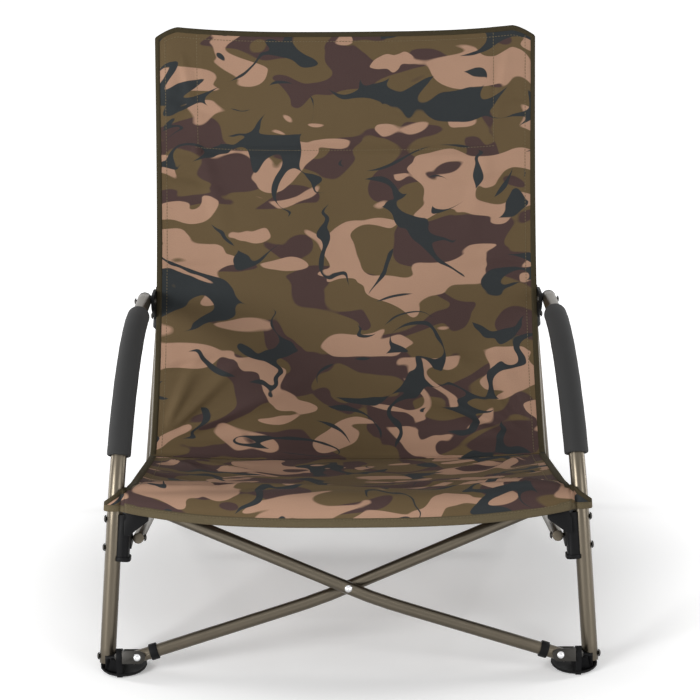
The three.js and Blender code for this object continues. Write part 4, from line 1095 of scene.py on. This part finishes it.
class CHAIR_OT_stage(bpy.types.Operator):
    """Makes the floor, the soft lights and the camera"""
    bl_idname = "chair.stage"
    bl_label = "Stage"

    def execute(self, context):
        scene = context.scene
        scene.view_settings.view_transform = "Standard"
        self.floor(scene.chair_stage.floor)
        for name, place, size, share in LIGHTS:
            lamp = bpy.data.lights.new(name, "AREA")
            lamp.energy = scene.chair_stage.key * share
            lamp.shape = "RECTANGLE"
            lamp.size, lamp.size_y = size
            light = bpy.data.objects.new(name, lamp)
            light.location = place
            light.rotation_euler = (LIT_POINT - Vector(place)).to_track_quat("-Z", "Y").to_euler()
            scene.collection.objects.link(light)
        self.world(scene)
        view = bpy.data.cameras.new("camera")
        view.lens, view.sensor_width, view.shift_x = LENS, SENSOR, SHIFT
        camera = bpy.data.objects.new("camera", view)
        camera.location = CAMERA_PLACE
        turn = Matrix.Rotation(CAMERA_TILT, 3, "X") @ Matrix.Rotation(CAMERA_ROLL, 3, "Z")
        camera.rotation_euler = turn.to_euler()
        scene.collection.objects.link(camera)
        scene.camera = camera
        return {"FINISHED"}

    @staticmethod
    def world(scene):
        """A soft light from all round, which the camera and glossy surfaces see as white."""
        scene.world = bpy.data.worlds.new("studio")
        scene.world.use_nodes = True
        tree = scene.world.node_tree
        ground = tree.nodes["Background"]
        ground.inputs[0].default_value = (1, 1, 1, 1)
        path = tree.nodes.new("ShaderNodeLightPath")
        shown = tree.nodes.new("ShaderNodeMath")
        shown.operation = "MAXIMUM"
        strength = tree.nodes.new("ShaderNodeMapRange")
        strength.inputs[3].default_value = WORLD_LIGHT
        strength.inputs[4].default_value = WHITE
        for start, end in (
                (path.outputs["Is Camera Ray"], shown.inputs[0]),
                (path.outputs["Is Glossy Ray"], shown.inputs[1]),
                (shown.outputs[0], strength.inputs[0]), (strength.outputs[0], ground.inputs[1])):
            tree.links.new(start, end)

    @staticmethod
    def floor(shade):
        """A pale floor that the camera sees a little brighter, so that it fades out to white."""
        mesh = bpy.data.meshes.new("floor")
        corners = ((-1, -1), (1, -1), (1, 1), (-1, 1))
        mesh.from_pydata([(x * FLOOR_SIZE, y * FLOOR_SIZE, 0) for x, y in corners],
                         [], [(0, 1, 2, 3)])
        floor = bpy.data.objects.new("floor", mesh)
        bpy.context.scene.collection.objects.link(floor)
        nodes = Nodes("pale_floor")
        path = nodes.add("LightPath").outputs
        seen = nodes.math("MAXIMUM", path["Is Camera Ray"], path["Is Glossy Ray"])
        away = nodes.add("VectorMath", {0: nodes.on_object()}, operation="LENGTH").outputs["Value"]
        glow = nodes.spread(away, GLOW_NEAR, GLOW_FAR, GLOW_UNDER, WHITE)
        nodes.set(Base_Color=rgba(shade), Roughness=0.95, Specular_IOR_Level=0.0,
                  Emission_Color=(1, 1, 1, 1), Emission_Strength=nodes.math("MULTIPLY", seen, glow))
        mesh.materials.append(nodes.material)


# The panel and the run

OPERATORS = (CHAIR_OT_stage, CHAIR_OT_finishes, CHAIR_OT_rivets, CHAIR_OT_plugs, CHAIR_OT_seat,
             CHAIR_OT_back, CHAIR_OT_wraps, CHAIR_OT_grips)


class CHAIR_PT_panel(bpy.types.Panel):
    """Lists the chair's pieces and settings"""
    bl_idname = "CHAIR_PT_panel"
    bl_label = "Fishing chair"
    bl_space_type = "VIEW_3D"
    bl_region_type = "UI"
    bl_category = "Chair"

    def draw(self, context):
        for operator in OPERATORS:
            self.layout.operator(operator.bl_idname)
        for group in (context.scene.chair_cloth, context.scene.chair_frame,
                      context.scene.chair_stage):
            box = self.layout.box()
            for key in group.__annotations__:
                box.prop(group, key)


CLASSES = (ClothSettings, FrameSettings, StageSettings, *OPERATORS, CHAIR_PT_panel)


def register():
    for cls in CLASSES:
        bpy.utils.register_class(cls)
    bpy.types.Scene.chair_cloth = PointerProperty(type=ClothSettings)
    bpy.types.Scene.chair_frame = PointerProperty(type=FrameSettings)
    bpy.types.Scene.chair_stage = PointerProperty(type=StageSettings)


def unregister():
    for name in ("chair_cloth", "chair_frame", "chair_stage"):
        delattr(bpy.types.Scene, name)
    for cls in reversed(CLASSES):
        bpy.utils.unregister_class(cls)


def main():
    register()
    for operator in OPERATORS:
        group, name = operator.bl_idname.split(".")
        getattr(getattr(bpy.ops, group), name)()


if __name__ == "__main__":
    main()
